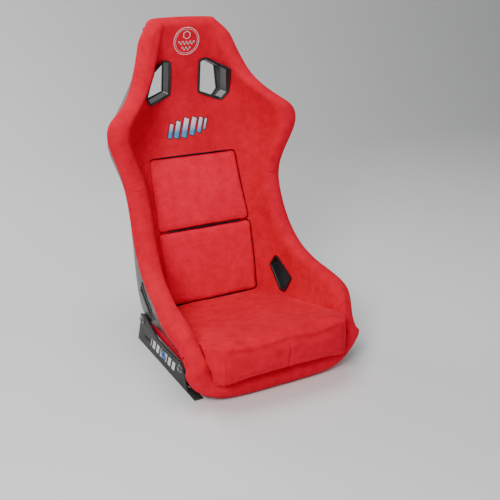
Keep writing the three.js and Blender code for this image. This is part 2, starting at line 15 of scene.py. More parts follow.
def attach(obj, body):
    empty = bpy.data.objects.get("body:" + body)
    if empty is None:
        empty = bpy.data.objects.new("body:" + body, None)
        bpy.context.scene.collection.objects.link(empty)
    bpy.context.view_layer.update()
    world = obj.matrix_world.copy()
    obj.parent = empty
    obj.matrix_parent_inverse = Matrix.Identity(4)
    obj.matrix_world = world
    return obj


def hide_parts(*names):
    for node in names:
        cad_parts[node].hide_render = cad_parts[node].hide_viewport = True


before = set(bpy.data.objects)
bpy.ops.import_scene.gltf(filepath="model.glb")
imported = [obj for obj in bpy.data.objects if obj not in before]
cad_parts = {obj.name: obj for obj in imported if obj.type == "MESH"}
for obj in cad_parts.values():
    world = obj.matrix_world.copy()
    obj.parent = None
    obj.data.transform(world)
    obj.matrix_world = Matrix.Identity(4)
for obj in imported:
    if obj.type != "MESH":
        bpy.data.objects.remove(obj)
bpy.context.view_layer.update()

MM = 0.001
SHIFT_Y = 127  # from the stations' own Y to the frame's
FIT_GAP = 0.3  # room between pieces that touch
SHELL_THICKNESS = 4
SHELL_INSET = 6  # how far inside the rim's roll the shell's edge lies
RETURN_THICKNESS = 2.6  # the suede's fold on the shell's outside
RETURN_REACH = 0.022  # the fold's width, as a share of the half width


# ---------------------------------------------------------------- camera, floor and lights
CAMERA_ANGLES = (-28.67, 21.21, 0.24)  # turn about +Z, height above level and roll, in degrees
CAMERA_PLACE = (-0.9494, -1.8553, 1.0958)
CAMERA_LENS = 57.6


def make_camera():
    """A camera that looks down on the seat from its front left."""
    data = bpy.data.cameras.new("camera")
    data.lens = CAMERA_LENS
    data.sensor_width = 36
    camera = bpy.data.objects.new("camera", data)
    azimuth, elevation, roll = (math.radians(angle) for angle in CAMERA_ANGLES)
    back = Vector((math.sin(azimuth) * math.cos(elevation), -math.cos(azimuth) * math.cos(elevation),
                   math.sin(elevation)))
    level = Vector((math.cos(azimuth), math.sin(azimuth), 0))
    upright = back.cross(level)
    right = level * math.cos(roll) + upright * math.sin(roll)
    up = upright * math.cos(roll) - level * math.sin(roll)
    camera.matrix_world = Matrix((right, up, back)).transposed().to_4x4()
    camera.location = CAMERA_PLACE
    bpy.context.scene.collection.objects.link(camera)
    bpy.context.scene.camera = camera


SEAT_MIDDLE = (0, 0, 0.45)


def area_light(name, place, size, power):
    """A round soft light turned towards the middle of the seat."""
    data = bpy.data.lights.new(name, "AREA")
    data.shape = "DISK"
    data.size = size
    data.energy = power
    light = bpy.data.objects.new(name, data)
    light.location = place
    light.rotation_euler = (Vector(place) - Vector(SEAT_MIDDLE)).to_track_quat("Z", "Y").to_euler()
    bpy.context.scene.collection.objects.link(light)


make_camera()
area_light("front_softbox", (-1.7, -1.7, 2.0), 1.2, 66)
area_light("right_softbox", (2.2, -1.0, 1.2), 1.6, 8)
area_light("top_softbox", (-0.2, 0.3, 2.6), 1.4, 26)
area_light("rear_softbox", (-0.8, 2.2, 1.6), 1.4, 20)
world = bpy.data.worlds.new("studio")
world.use_nodes = True
background = world.node_tree.nodes["Background"].inputs
background["Color"].default_value = (0.9, 0.92, 0.95, 1)
background["Strength"].default_value = 0.3
bpy.context.scene.world = world


# ---------------------------------------------------------------- shading
class Shade:
    """A socket on its way through a finish. Arithmetic on it adds the Math nodes."""

    def __init__(self, finish, socket):
        self.finish = finish
        self.socket = socket

    def maths(self, operation, *values):
        return self.finish.node("ShaderNodeMath", {"operation": operation}, dict(enumerate(values)))

    def __add__(self, other):
        return self.maths("ADD", self, other)

    def __sub__(self, other):
        return self.maths("SUBTRACT", self, other)

    def __rsub__(self, other):
        return self.maths("SUBTRACT", other, self)

    def __mul__(self, other):
        return self.maths("MULTIPLY", self, other)

    def __truediv__(self, other):
        return self.maths("DIVIDE", self, other)

    def __lt__(self, other):
        return self.maths("LESS_THAN", self, other)

    def __gt__(self, other):
        return self.maths("GREATER_THAN", self, other)

    __radd__ = __add__
    __rmul__ = __mul__

    def size(self):
        return self.maths("ABSOLUTE", self)

    def root(self):
        return self.maths("SQRT", self)

    def fraction(self):
        return self.maths("FRACT", self)

    def clamped(self):
        return self.finish.node("ShaderNodeClamp", {}, {0: self})


class Finish:
    """One material, built node by node."""

    def __init__(self, name):
        self.material = bpy.data.materials.new(name)
        self.material.use_nodes = True
        self.tree = self.material.node_tree
        self.tree.nodes.clear()

    def node(self, kind, settings=None, sockets=None, output=0):
        """Adds a node with its settings, then its sockets' values or links, and gives one output."""
        made = self.tree.nodes.new(kind)
        for key, value in (settings or {}).items():
            if key == "stops":
                self.set_stops(made.color_ramp, value)
            else:
                setattr(made, key, value)
        for key, value in (sockets or {}).items():
            if isinstance(value, Shade):
                self.tree.links.new(value.socket, made.inputs[key])
            else:
                made.inputs[key].default_value = value
        return Shade(self, made.outputs[output]) if output is not None else None

    @staticmethod
    def set_stops(ramp, stops):
        while len(ramp.elements) < len(stops):
            ramp.elements.new(1)
        for element, (position, colour) in zip(ramp.elements, stops):
            element.position = position
            element.color = (*colour, 1)

    def place(self):
        """Where a point lies on the seat, in metres."""
        return self.node("ShaderNodeTexCoord", output="Object")

    def axes(self, place):
        """The three coordinates of a place."""
        split = self.node("ShaderNodeSeparateXYZ", {}, {0: place})
        outputs = split.socket.node.outputs
        return [Shade(self, outputs[k]) for k in range(3)]

    def noise(self, place, scale, detail=3, roughness=0.55):
        sockets = {"Vector": place, "Scale": scale, "Detail": detail, "Roughness": roughness}
        return self.node("ShaderNodeTexNoise", {}, sockets)

    def cells(self, place, scale, output=0):
        """A pattern of rounded cells: the distance to each middle, or a random colour."""
        sockets = {"Vector": place, "Scale": scale}
        return self.node("ShaderNodeTexVoronoi", {"feature": "F1"}, sockets, output)

    def mix(self, factor, first, second):
        """Colours blended by a factor from 0 to 1."""
        colour = [value if isinstance(value, Shade) else (*value, 1) for value in (first, second)]
        sockets = {0: factor, 6: colour[0], 7: colour[1]}
        return self.node("ShaderNodeMix", {"data_type": "RGBA"}, sockets, 2)

    def bump(self, height, distance, strength=1):
        sockets = {"Height": height, "Distance": distance, "Strength": strength}
        return self.node("ShaderNodeBump", {}, sockets)

    def surface(self, **sockets):
        """Ends the finish with a Principled shader whose sockets are named in lower case."""
        named = {key.replace("_", " ").title().replace("Ior", "IOR"): value
                 for key, value in sockets.items()}
        shader = self.node("ShaderNodeBsdfPrincipled", {}, named)
        self.node("ShaderNodeOutputMaterial", {}, {"Surface": shader}, None)
        return self.material


def cloth_grain(finish, place):
    """Fine pile, soft brushed patches and broad unevenness of the suede, each about 0 to 1."""
    pile = finish.noise(place, 1500, 2)
    brushed = finish.noise(place, 38, 4, 0.62)
    broad = finish.noise(place, 9, 2)
    return pile, brushed, broad


def suede(name, shade, bright):
    """Brushed suede, blended from a shaded to a bright colour by its grain."""
    finish = Finish(name)
    pile, brushed, broad = cloth_grain(finish, finish.place())
    blend = ((brushed - 0.5) * 1.3 + (broad - 0.5) * 0.8 + (pile - 0.5) * 0.5 + 0.5).clamped()
    return finish.surface(
        base_color=finish.mix(blend, shade, bright), roughness=0.82 + blend * 0.14,
        normal=finish.bump(pile * 0.6 + brushed * 0.4, 0.0006, 0.55), specular_ior_level=0.08,
        sheen_weight=0.22, sheen_roughness=0.35, sheen_tint=(1, 0.16, 0.2, 1))


def gelcoat():
    """Grey-olive gelcoat with coloured flakes under a clear coat."""
    finish = Finish("flaked_gelcoat")
    place = finish.place()
    flake = finish.cells(place, 420, "Color")
    tint = finish.node("ShaderNodeSeparateColor", {}, {0: flake})
    pick = finish.node("ShaderNodeValToRGB", {"stops": [
        (0.0, (0.012, 0.011, 0.008)), (0.35, (0.026, 0.023, 0.016)), (0.55, (0.05, 0.045, 0.033)),
        (0.72, (0.06, 0.03, 0.022)), (0.84, (0.026, 0.055, 0.03)), (0.93, (0.13, 0.085, 0.085))
    ]}, {0: tint})
    cloud = finish.noise(place, 14, 3)
    colour = finish.mix((cloud * 0.5).clamped(), pick, (0.04, 0.037, 0.028))
    return finish.surface(
        base_color=colour, roughness=0.45 + cloud * 0.15, specular_ior_level=0.3,
        coat_weight=0.35, coat_roughness=0.15, normal=finish.bump(finish.noise(place, 60, 2), 0.0006, 0.25))


def moulded_plastic():
    finish = Finish("black_moulding")
    place = finish.place()
    grain = finish.noise(place, 1300, 3)
    cloud = finish.noise(place, 30, 2)
    return finish.surface(
        base_color=finish.mix(cloud, (0.008, 0.008, 0.009), (0.02, 0.02, 0.022)),
        roughness=0.26 + grain * 0.22, normal=finish.bump(grain, 0.0002, 0.35))


def powder_coat(marks=False):
    finish = Finish("bracket_powder_coat" if marks else "powder_coat")
    place = finish.place()
    texture = finish.noise(place, 900, 3)
    cloud = finish.noise(place, 16, 3)
    colour = finish.mix(cloud, (0.016, 0.014, 0.013), (0.036, 0.032, 0.03))
    if marks:
        colour = printed_marks(finish, place, colour)
    return finish.surface(
        base_color=colour, roughness=0.42 + texture * 0.25, specular_ior_level=0.45,
        normal=finish.bump(texture, 0.0004, 0.5))


OUTER_FACE = 0.2272  # the bracket's face stands past this width, in metres, as are the marks' sizes
BARS_BOTTOM, BARS_TOP, BARS_REAR, BARS_FRONT = 0.022, 0.050, -0.068, -0.232
BAR_LEAN, BAR_PITCH, BAR_SHARE = 0.45, 0.0268, 0.62
RING_Y, RING_Z, RING_HOLE, RING_RADIUS, RING_CLEARANCE = -0.172, 0.036, 0.006, 0.0125, 0.017


def printed_marks(finish, place, colour):
    """Plain white slanted bars and a blue ring on the bracket's outer face."""
    x, y, z = finish.axes(place)
    outside = x.size() > OUTER_FACE
    along = y - SHIFT_Y * MM + z * BAR_LEAN
    height = (z < BARS_TOP) * (z > BARS_BOTTOM)
    bars = height * outside * (along > BARS_FRONT) * (along < BARS_REAR)
    phase = ((along - BARS_FRONT) / BAR_PITCH).fraction()
    bars = bars * (phase < BAR_SHARE)
    ring_y = y - (SHIFT_Y * MM + RING_Y)
    ring_z = z - RING_Z
    radius = (ring_y * ring_y + ring_z * ring_z).root()
    colour = finish.mix(bars * (radius > RING_CLEARANCE), colour, (0.72, 0.72, 0.72))
    ring = (radius < RING_RADIUS) * (radius > RING_HOLE) * outside
    return finish.mix(ring, colour, (0.05, 0.2, 0.55))


def plated_zinc():
    finish = Finish("zinc_plate")
    place = finish.place()
    brushed = finish.noise(place, 300, 4)
    return finish.surface(
        base_color=finish.mix(brushed, (0.20, 0.20, 0.21), (0.34, 0.33, 0.31)), metallic=0.9,
        roughness=0.3 + brushed * 0.2, normal=finish.bump(brushed, 0.0001, 0.3))


def woven_tape():
    finish = Finish("hook_and_loop_tape")
    loops = finish.cells(finish.place(), 900)
    return finish.surface(
        base_color=finish.mix(loops.clamped(), (0.012, 0.012, 0.013), (0.05, 0.05, 0.055)), roughness=0.92,
        normal=finish.bump(loops, 0.0006, 0.8), sheen_weight=0.2)


def open_foam():
    finish = Finish("moulded_foam")
    cells = finish.cells(finish.place(), 700)
    return finish.surface(
        base_color=finish.mix(cells.clamped(), (0.02, 0.02, 0.022), (0.07, 0.07, 0.075)), roughness=0.95,
        normal=finish.bump(cells, 0.0008, 0.8))


def thread(name, low, high, split=None):
    """Embroidery thread: twisted strands, with a colour that may change with height."""
    finish = Finish(name)
    place = finish.place()
    strands = finish.noise(place, 2600, 2)
    blend = strands
    if split:
        _, _, z = finish.axes(place)
        blend = ((z - split[0]) / (split[1] - split[0]) + (strands - 0.5) * 0.25).clamped()
    return finish.surface(
        base_color=finish.mix(blend, low, high), roughness=0.45 + strands * 0.2,
        normal=finish.bump(strands, 0.0003, 0.6), sheen_weight=0.15)


RED_SUEDE = suede("red_suede", (0.54, 0.001, 0.016), (0.80, 0.004, 0.036))
# Painted light: the pads' suede is the red suede made brighter, a painted highlight for the key light that
# the pads face.
PAD_SUEDE_PAINTED_LIGHT = suede("pad_suede_painted_light", (0.68, 0.002, 0.026), (0.97, 0.007, 0.056))
GELCOAT = gelcoat()
PLASTIC = moulded_plastic()
POWDER_COAT = powder_coat()
BRACKET_COAT = powder_coat(marks=True)
ZINC = plated_zinc()
TAPE = woven_tape()
FOAM = open_foam()
WHITE_THREAD = thread("white_thread", (0.62, 0.56, 0.57), (0.86, 0.84, 0.85))
GREY_THREAD = thread("grey_thread", (0.42, 0.34, 0.36), (0.60, 0.55, 0.57))
BLACK_THREAD = thread("black_thread", (0.012, 0.012, 0.014), (0.03, 0.03, 0.034))
STRIPE_THREAD = thread("stripe_thread", (0.05, 0.32, 0.62), (0.86, 0.66, 0.76), (0.572, 0.596))


# ---------------------------------------------------------------- the seat's surfaces
# One row per station along the centre line, from the front lip to the head's top: y, z, the walls'
# tilt from +Z towards -Y in degrees, flat half width, the rim's crown (half width, rise), the rim
# roll's half thickness and reach, the shell's depth behind the centre line, how far round the roll
# the shell's edge lies in degrees, and how boxy the shell's sides are, 0 to 1.
STATIONS = np.array([
    (-392, 66, 2, 166, 230, 72, 32, 24, 58, 30, 0.5), (-345, 54, 10, 164, 236, 134, 30, 28, 43, 25, 0.1),
    (-270, 49, 20, 162, 239, 169, 31, 30, 36, 20, 0), (-200, 48, 30, 160, 239, 195, 31, 30, 35, 20, 0),
    (-130, 49, 39, 160, 238, 223, 31, 30, 36, 20, 0), (-70, 52, 46, 158, 236, 251, 30, 30, 48, 20, 0.1),
    (-28, 69, 51, 158, 233, 258, 30, 30, 70, 20, 0.3), (-10, 108, 55, 159, 229, 226, 30, 30, 84, 20, 0.6),
    (-5, 160, 60, 161, 224, 177, 30, 30, 80, 20, 0.9), (8, 225, 66, 163, 216, 122, 30, 30, 72, 20, 1),
    (28, 295, 69, 164, 209, 88, 30, 30, 60, 20, 1), (50, 355, 70, 164, 205, 82, 30, 30, 55, 20, 1),
    (71, 410, 70, 163, 203, 80, 30, 30, 54, 20, 1), (89, 460, 71, 160, 213, 93, 30, 30, 53, 20, 1),
    (107, 510, 71, 152, 238, 122, 30, 30, 53, 20, 1), (124, 555, 72, 134, 258, 150, 30, 30, 53, 20, 1),
    (140, 600, 75, 112, 247, 164, 30, 30, 54, 20, 1), (153, 645, 78, 100, 208, 147, 30, 30, 54, 25, 1),
    (160, 690, 81, 92, 172, 117, 30, 30, 52, 35, 1), (155, 732, 84, 85, 148, 86, 30, 28, 50, 45, 1),
    (146, 775, 86, 78, 131, 61, 30, 27, 50, 55, 1), (135, 815, 88, 74, 118, 36, 30, 26, 52, 60, 1),
    (127, 850, 90, 72, 108, 18, 30, 24, 54, 65, 1), (124, 868, 91, 70, 104, 10, 30, 20, 53, 70, 1)])
ROLL, REACH = 6, 7  # columns of the stations

LIP_SPAN = 0.075  # rows over which the lip's and the head's corners are rounded
HEAD_SPAN = 0.05
COVER_CORNERS = (0.78, 0.7)  # share of the half width left at the lip and at the head
SHELL_CORNERS = (0.85, 0.66)


def spline_weights(count, t):
    """The span that each place lies in and the cubic weights of its four controls."""
    span = np.clip(np.floor(t).astype(int), 0, count - 2)
    f = t - span
    basis = [(1 - f) ** 3 / 6, (3 * f ** 3 - 6 * f ** 2 + 4) / 6,
             (-3 * f ** 3 + 3 * f ** 2 + 3 * f + 1) / 6, f ** 3 / 6]
    return span, basis


def extended(controls):
    """Controls with one more at each end, so that the spline starts and ends on the given ones."""
    first = 2 * controls[:1] - controls[1:2]
    last = 2 * controls[-1:] - controls[-2:-1]
    return np.concatenate([first, controls, last])


STATION_CONTROLS = extended(STATIONS)


def station_value(column, v):
    """One column of the stations, read smoothly at a row."""
    span, basis = spline_weights(len(STATIONS), v * (len(STATIONS) - 1))
    return sum(weight * STATION_CONTROLS[span + k, column] for k, weight in enumerate(basis))


def corner_trim(v, corners):
    """Share of the half width that an outline keeps near its rounded corners."""
    lip = np.clip(1 - v / LIP_SPAN, 0, 1)
    head = np.clip(1 - (1 - v) / HEAD_SPAN, 0, 1)
    rounded = [share + (1 - share) * np.sqrt(1 - s * s) for share, s in zip(corners, (lip, head))]
    return rounded[0] * rounded[1]


def lengths(vectors):
    return np.linalg.norm(vectors, axis=-1, keepdims=True)


class Surface:
    """A face found by column, -1 to 1 across the rounded outline, and row, 0 to 1 from the lip."""

    def __init__(self, half_profile, corners):
        self.corners = corners
        rows = []
        for station in STATIONS:
            y, z, tilt = station[:3]
            lean = math.radians(tilt)
            half = [(x, y + SHIFT_Y - g * math.sin(lean), z + g * math.cos(lean))
                    for x, g in half_profile(*station[3:])]
            rows.append([(-x, y, z) for x, y, z in half[:0:-1]] + half)
        net = extended(np.array(rows))
        self.net = extended(net.transpose(1, 0, 2)).transpose(1, 0, 2)

    def spline(self, u, v):
        rows, columns = self.net.shape[0] - 2, self.net.shape[1] - 2
        i, along = spline_weights(rows, v * (rows - 1))
        j, across = spline_weights(columns, (u + 1) / 2 * (columns - 1))
        total = 0
        for a, wa in enumerate(along):
            for b, wb in enumerate(across):
                total = total + (wa * wb)[:, None] * self.net[i + a, j + b]
        return total

    def point(self, column, v):
        return self.spline(column * corner_trim(v, self.corners), v)

    def normal(self, column, v, step=1e-3):
        u = column * corner_trim(v, self.corners)
        du = self.spline(u + step, v) - self.spline(u - step, v)
        dv = self.spline(u, v + step) - self.spline(u, v - step)
        normal = np.cross(du, dv)
        return normal / lengths(normal)

    def offset(self, distance):
        """The face at a distance along the normals."""
        def face(column, v):
            return self.point(column, v) + self.normal(column, v) * np.reshape(distance, (-1, 1))
        return face

    def find(self, axes, targets, columns, rows):
        """Columns and rows of the points with these coordinates on two axes, searched in a window."""
        grid = np.meshgrid(np.linspace(*columns, 60), np.linspace(*rows, 120))
        u, v = (part.ravel() for part in grid)
        points = self.point(u, v)[:, axes]
        nearest = ((points[None] - targets[:, None]) ** 2).sum(2).argmin(1)
        u, v = u[nearest], v[nearest]
        for _ in range(8):
            step = 1e-4
            here = self.point(u, v)[:, axes]
            du = (self.point(u + step, v)[:, axes] - here) / step
            dv = (self.point(u, v + step)[:, axes] - here) / step
            miss = targets - here
            scale = du[:, 0] * dv[:, 1] - du[:, 1] * dv[:, 0]
            u = u + (miss[:, 0] * dv[:, 1] - miss[:, 1] * dv[:, 0]) / scale
            v = v + (du[:, 0] * miss[:, 1] - du[:, 1] * miss[:, 0]) / scale
        return u, v


def cover_profile(flat, crown, rise, roll, *_):
    """Half a section of the cover's front, from the centre line out to the rim's crown."""
    inner = crown - roll
    foot = flat + 0.55 * (inner - flat)
    wall = max(0.62 * (rise - 0.55 * roll), 0.3 * rise)
    return [(0, 0), (0.5 * flat, 0), (0.9 * flat, 0), (foot, 0.18 * rise), (inner + 0.05 * roll, wall),
            (inner + 0.22 * roll, rise - 0.12 * roll), (crown, rise)]


def shell_profile(flat, crown, rise, roll, _, depth, wrap, boxy):
    """Half a section of the shell's outside, from behind the centre line out to its edge."""
    wrap = math.radians(wrap)
    edge_x = crown + (roll - SHELL_INSET) * math.cos(wrap)
    edge_rise = rise - roll - (roll - SHELL_INSET) * math.sin(wrap)
    height = edge_rise + depth
    side = edge_x - flat
    return [(0, -depth), (0.5 * flat, -depth), (0.95 * flat, -depth),
            (flat + (0.4 + 0.22 * boxy) * side, -depth + 0.05 * height),
            (edge_x - (0.5 - 0.38 * boxy) * side, -depth + 0.4 * height),
            (edge_x - (0.12 - 0.09 * boxy) * side, -depth + 0.75 * height), (edge_x, edge_rise)]


COVER = Surface(cover_profile, COVER_CORNERS)
SHELL = Surface(shell_profile, SHELL_CORNERS)


# ---------------------------------------------------------------- mesh work
def add_piece(name, points, faces, finish, smooth=True):
    """A mesh object from points in millimetres."""
    mesh = bpy.data.meshes.new(name)
    mesh.from_pydata((np.asarray(points) * MM).tolist(), [], faces)
    mesh.materials.append(finish)
    mesh.polygons.foreach_set("use_smooth", [smooth] * len(mesh.polygons))
    mesh.update()
    piece = bpy.data.objects.new(name, mesh)
    bpy.context.scene.collection.objects.link(piece)
    return piece


def bake_modifiers(piece):
    """Puts the result of a piece's modifiers into its mesh."""
    graph = bpy.context.evaluated_depsgraph_get()
    made = bpy.data.meshes.new_from_object(piece.evaluated_get(graph))
    old, piece.data = piece.data, made
    piece.modifiers.clear()
    made.name = old.name
    bpy.data.meshes.remove(old)


def carve(piece, tool, operation="DIFFERENCE"):
    """Cuts a piece with a closed tool, which is used up."""
    modifier = piece.modifiers.new("carve", "BOOLEAN")
    modifier.operation = operation
    modifier.solver = "MANIFOLD"
    modifier.object = tool
    bake_modifiers(piece)
    bpy.data.objects.remove(tool)


def crease_shading(piece, degrees=40):
    """Shades a piece smooth except across edges sharper than an angle."""
    piece.data.polygons.foreach_set("use_smooth", [True] * len(piece.data.polygons))
    piece.data.set_sharp_from_angle(angle=math.radians(degrees))


def settle(piece, nodes, slot):
    """Hides the CAD nodes that a piece stands for. The slot is not used. Every piece rides the root."""
    if nodes:
        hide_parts(*nodes)
    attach(piece, "root")


def twin(piece, name):
    """A mirrored copy of a piece on the other side of the seat."""
    mesh = piece.data.copy()
    mesh.transform(Matrix.Scale(-1, 4, (1, 0, 0)))
    mesh.flip_normals()
    copy = bpy.data.objects.new(name, mesh)
    bpy.context.scene.collection.objects.link(copy)
    return copy


def edge_cells(rows, columns):
    """The grid's outline, cell by cell: along the lip, up the right side, back over the head, down."""
    return ([(0, j) for j in range(columns)]
            + [(i, columns - 1) for i in range(1, rows)]
            + [(rows - 1, j) for j in range(columns - 2, -1, -1)]
            + [(i, 0) for i in range(rows - 2, 0, -1)])


def closed_sheet(front, back, columns, rows, rings=None):
    """Points and faces of a closed body between two faces on one grid, with rings round its edge."""
    grid_v, grid_u = (part.ravel() for part in np.meshgrid(rows, columns, indexing="ij"))
    count = len(grid_u)
    blocks = [front(grid_u, grid_v), back(grid_u, grid_v)]
    cells = edge_cells(len(rows), len(columns))
    outline = np.array([i * len(columns) + j for i, j in cells])
    index = np.arange(count).reshape(len(rows), len(columns))
    a, b, c, d = index[:-1, :-1], index[:-1, 1:], index[1:, 1:], index[1:, :-1]
    quads = [np.stack([a, b, c, d], -1).reshape(-1, 4), np.stack([a, d, c, b], -1).reshape(-1, 4) + count]
    rims = [outline]
    start = 2 * count
    for ring in (rings(grid_u[outline], grid_v[outline]) if rings else []):
        blocks.append(ring)
        rims.append(start + np.arange(len(outline)))
        start += len(outline)
    rims.append(outline + count)
    for rim, following in zip(rims, rims[1:]):
        quads.append(np.stack([rim, following, np.roll(following, -1), np.roll(rim, -1)], -1))
    return np.concatenate(blocks), np.concatenate(quads).tolist()


HALF_COLUMNS = np.array([0, 0.22, 0.42, 0.54, 0.66, 0.76, 0.85, 0.93, 1])


def fine_columns(steps):
    """Columns with a number of steps between the given ones, on both sides."""
    half = np.interp(np.arange(8 * steps + 1) / steps, np.arange(9), HALF_COLUMNS)
    return np.concatenate([-half[:0:-1], half])


def fine_rows(corner_steps, middle_steps):
    """Rows that crowd together towards the rounded ends."""
    bend = 1 - np.sin(math.pi / 2 * (1 - np.arange(corner_steps) / corner_steps))
    middle = np.linspace(LIP_SPAN, 1 - HEAD_SPAN, middle_steps + 1)
    return np.concatenate([LIP_SPAN * bend, middle, (1 - HEAD_SPAN * bend)[::-1]])


# ---------------------------------------------------------------- relief of the covers
def value_noise(points, size, seed):
    """Smooth noise from -1 to 1 with lumps of a given size in millimetres."""
    lattice = np.random.RandomState(seed).uniform(-1, 1, (24, 24, 24))
    scaled = points / size
    cell = np.floor(scaled).astype(int)
    f = scaled - cell
    f = f * f * (3 - 2 * f)
    total = 0
    for corner in np.ndindex(2, 2, 2):
        weight = np.prod(np.where(np.array(corner) == 1, f, 1 - f), axis=-1)
        i, j, k = ((cell + corner) % 24).T
        total = total + weight * lattice[i, j, k]
    return total


def distance_to_line(points, line):
    """Distance from each point to a polyline, and how far along it the nearest place is, 0 to 1."""
    line = np.asarray(line, float)
    best = np.full(len(points), 1e9)
    along = np.zeros(len(points))
    for k, (start, end) in enumerate(zip(line, line[1:])):
        span = end - start
        t = np.clip(((points - start) @ span) / (span @ span), 0, 1)
        gap = np.linalg.norm(points - start - t[:, None] * span, axis=1)
        closer = gap < best
        best[closer] = gap[closer]
        along[closer] = (k + t[closer]) / (len(line) - 1)
    return best, along


def fold(points, line, depth, width):
    """A crease that fades towards its ends, with soft shoulders."""
    gap, along = distance_to_line(points, line)
    fade = np.sin(math.pi * np.clip(along, 0.04, 0.96)) ** 0.6
    return fade * depth * (0.45 * np.exp(-(gap / (2.6 * width)) ** 2) - 1.3 * np.exp(-(gap / width) ** 2))


# Where the suede is pulled round the rim and the wings: a line of points on the cover, depth and width.
CREASES = [
    ([(196, 141, 669), (237, 113, 633), (243, 112, 609), (232, 119, 567), (198, 133, 493)], 1.0, 5),
    ([(-214, 138, 645), (-226, 134, 606), (-206, 189, 555)], 1.0, 5),
    ([(201, -13, 218), (209, -110, 205), (213, -212, 170)], 1.3, 5),
    ([(-250, 130, 470), (-222, 110, 462), (-205, 120, 436)], 1.6, 5),
    ([(-262, 30, 292), (-216, 27, 282), (-200, 17, 266)], 1.6, 5),
    ([(-262, -225, 176), (-236, -222, 190), (-205, -214, 168)], 1.8, 6),
    ([(-240, -236, 110), (-222, -240, 138), (-196, -241, 120)], 2.0, 6),
    ([(240, -236, 110), (222, -240, 138), (196, -241, 120)], 2.0, 6),
    ([(250, 130, 470), (222, 110, 462), (205, 120, 436)], 1.4, 5),
    ([(262, 30, 292), (216, 27, 282), (200, 17, 266)], 1.4, 5),
]


def cover_relief(points):
    """How far the cover stands above or below its plain surface."""
    relief = 0.5 * value_noise(points, 70, 3) + 0.22 * value_noise(points, 22, 5)
    for line, depth, width in CREASES:
        relief = relief + fold(points, line, depth, width)
    return relief


# ---------------------------------------------------------------- covers
def folded_in(u, v):
    """The place on the shell that the suede's fold reaches from a place on its edge."""
    return u * (1 - RETURN_REACH), RETURN_REACH / 3 + v * (1 - 2 * RETURN_REACH / 3)


def rim_frames(u, v):
    """Round the rim: the roll's centre, its directions and sizes, and how far round the shell's edge is."""
    crowns = COVER.point(u, v)
    normal = COVER.normal(u, v)
    ahead = np.roll(crowns, -1, 0) - crowns
    behind = crowns - np.roll(crowns, 1, 0)
    outward = np.cross(ahead / lengths(ahead) + behind / lengths(behind), normal)
    outward = outward / lengths(outward)
    roll, reach = station_value(ROLL, v)[:, None], station_value(REACH, v)[:, None]
    centre = crowns - normal * roll
    edge = SHELL.point(u, v) - centre
    end = np.arctan2((edge * outward).sum(1) / reach[:, 0], (edge * normal).sum(1) / roll[:, 0])
    return centre, normal, outward, roll, reach, np.where(end < 0, end + 2 * math.pi, end)


ROLL_STEPS = 22
EDGE_CLEARANCE = 1.2


def eased(values, share, spread=9):
    """Values round the rim, averaged with their neighbours by a share at each place."""
    kernel = np.exp(-np.linspace(-1.8, 1.8, 2 * spread + 1) ** 2)
    kernel = kernel / kernel.sum()
    soft = sum(weight * np.roll(values, k - spread, 0) for k, weight in enumerate(kernel))
    return values + (soft - values) * share[:, None]


def corner_share(v):
    """1 at the rim's four corners, falling to 0 away from them."""
    lip = np.clip((2.4 * LIP_SPAN - v) / LIP_SPAN, 0, 1)
    head = np.clip((v - 1 + 2.4 * HEAD_SPAN) / HEAD_SPAN, 0, 1)
    return np.maximum(lip, head)


def cover_rings(u, v):
    """The rolled rim, the fold onto the shell's outside, and the way back round the shell's edge."""
    centre, normal, outward, roll, reach, end = rim_frames(u, v)
    share = corner_share(v)
    rings = []
    for step in range(1, ROLL_STEPS + 1):
        angle = (end * step / ROLL_STEPS)[:, None]
        out = normal * np.cos(angle) + outward * np.sin(angle)
        ring = centre + normal * roll * np.cos(angle) + outward * reach * np.sin(angle)
        ring = eased(ring, share * min(1, step / 4) * min(1, (ROLL_STEPS - step) / 4))
        fade = 1 - (step / ROLL_STEPS) ** 4
        rings.append(ring + out * cover_relief(ring)[:, None] * fade)
    hem = folded_in(u, v)
    edge = SHELL.point(u, v)
    fold_out = SHELL.offset(-RETURN_THICKNESS)(*hem)
    fold_under = SHELL.offset(-FIT_GAP)(*hem)
    past = edge - fold_under
    past = past / lengths(past) * EDGE_CLEARANCE
    middle = (SHELL.offset(-RETURN_THICKNESS)(u, v) + fold_out) / 2
    inner_edge = SHELL.offset(SHELL_THICKNESS + FIT_GAP)(u, v)
    return rings + [middle, fold_out, fold_under, SHELL.offset(-FIT_GAP)(u, v) + past, inner_edge + past]


def cover_front(u, v):
    points = COVER.point(u, v)
    return points + COVER.normal(u, v) * cover_relief(points)[:, None]


COLUMNS = fine_columns(6)
ROWS = fine_rows(12, 230)


def prism(outline, axis, low, high):
    """Points and faces of a straight-sided tool over an outline; axis 1 runs along Y, 0 along X."""
    count = len(outline)
    ends = []
    for level in (low, high):
        points = np.zeros((count, 3))
        points[:, axis] = level
        points[:, [k for k in range(3) if k != axis]] = outline
        ends.append(points)
    ring = np.arange(count)
    sides = np.stack([ring, np.roll(ring, -1), np.roll(ring, -1) + count, ring + count], -1).tolist()
    return np.concatenate(ends), sides + [ring[::-1].tolist(), (ring + count).tolist()]


def joined(bodies):
    points, faces, start = [], [], 0
    for body_points, body_faces in bodies:
        points.append(body_points)
        faces += [[index + start for index in face] for face in body_faces]
        start += len(body_points)
    return np.concatenate(points), faces


def outward_facing(piece):
    """Turns a closed mesh's faces so that they all look outward."""
    work = bmesh.new()
    work.from_mesh(piece.data)
    bmesh.ops.recalc_face_normals(work, faces=work.faces)
    work.to_mesh(piece.data)
    work.free()


def mirrored_body(body):
    points, faces = body
    return points * (-1, 1, 1), [face[::-1] for face in faces]


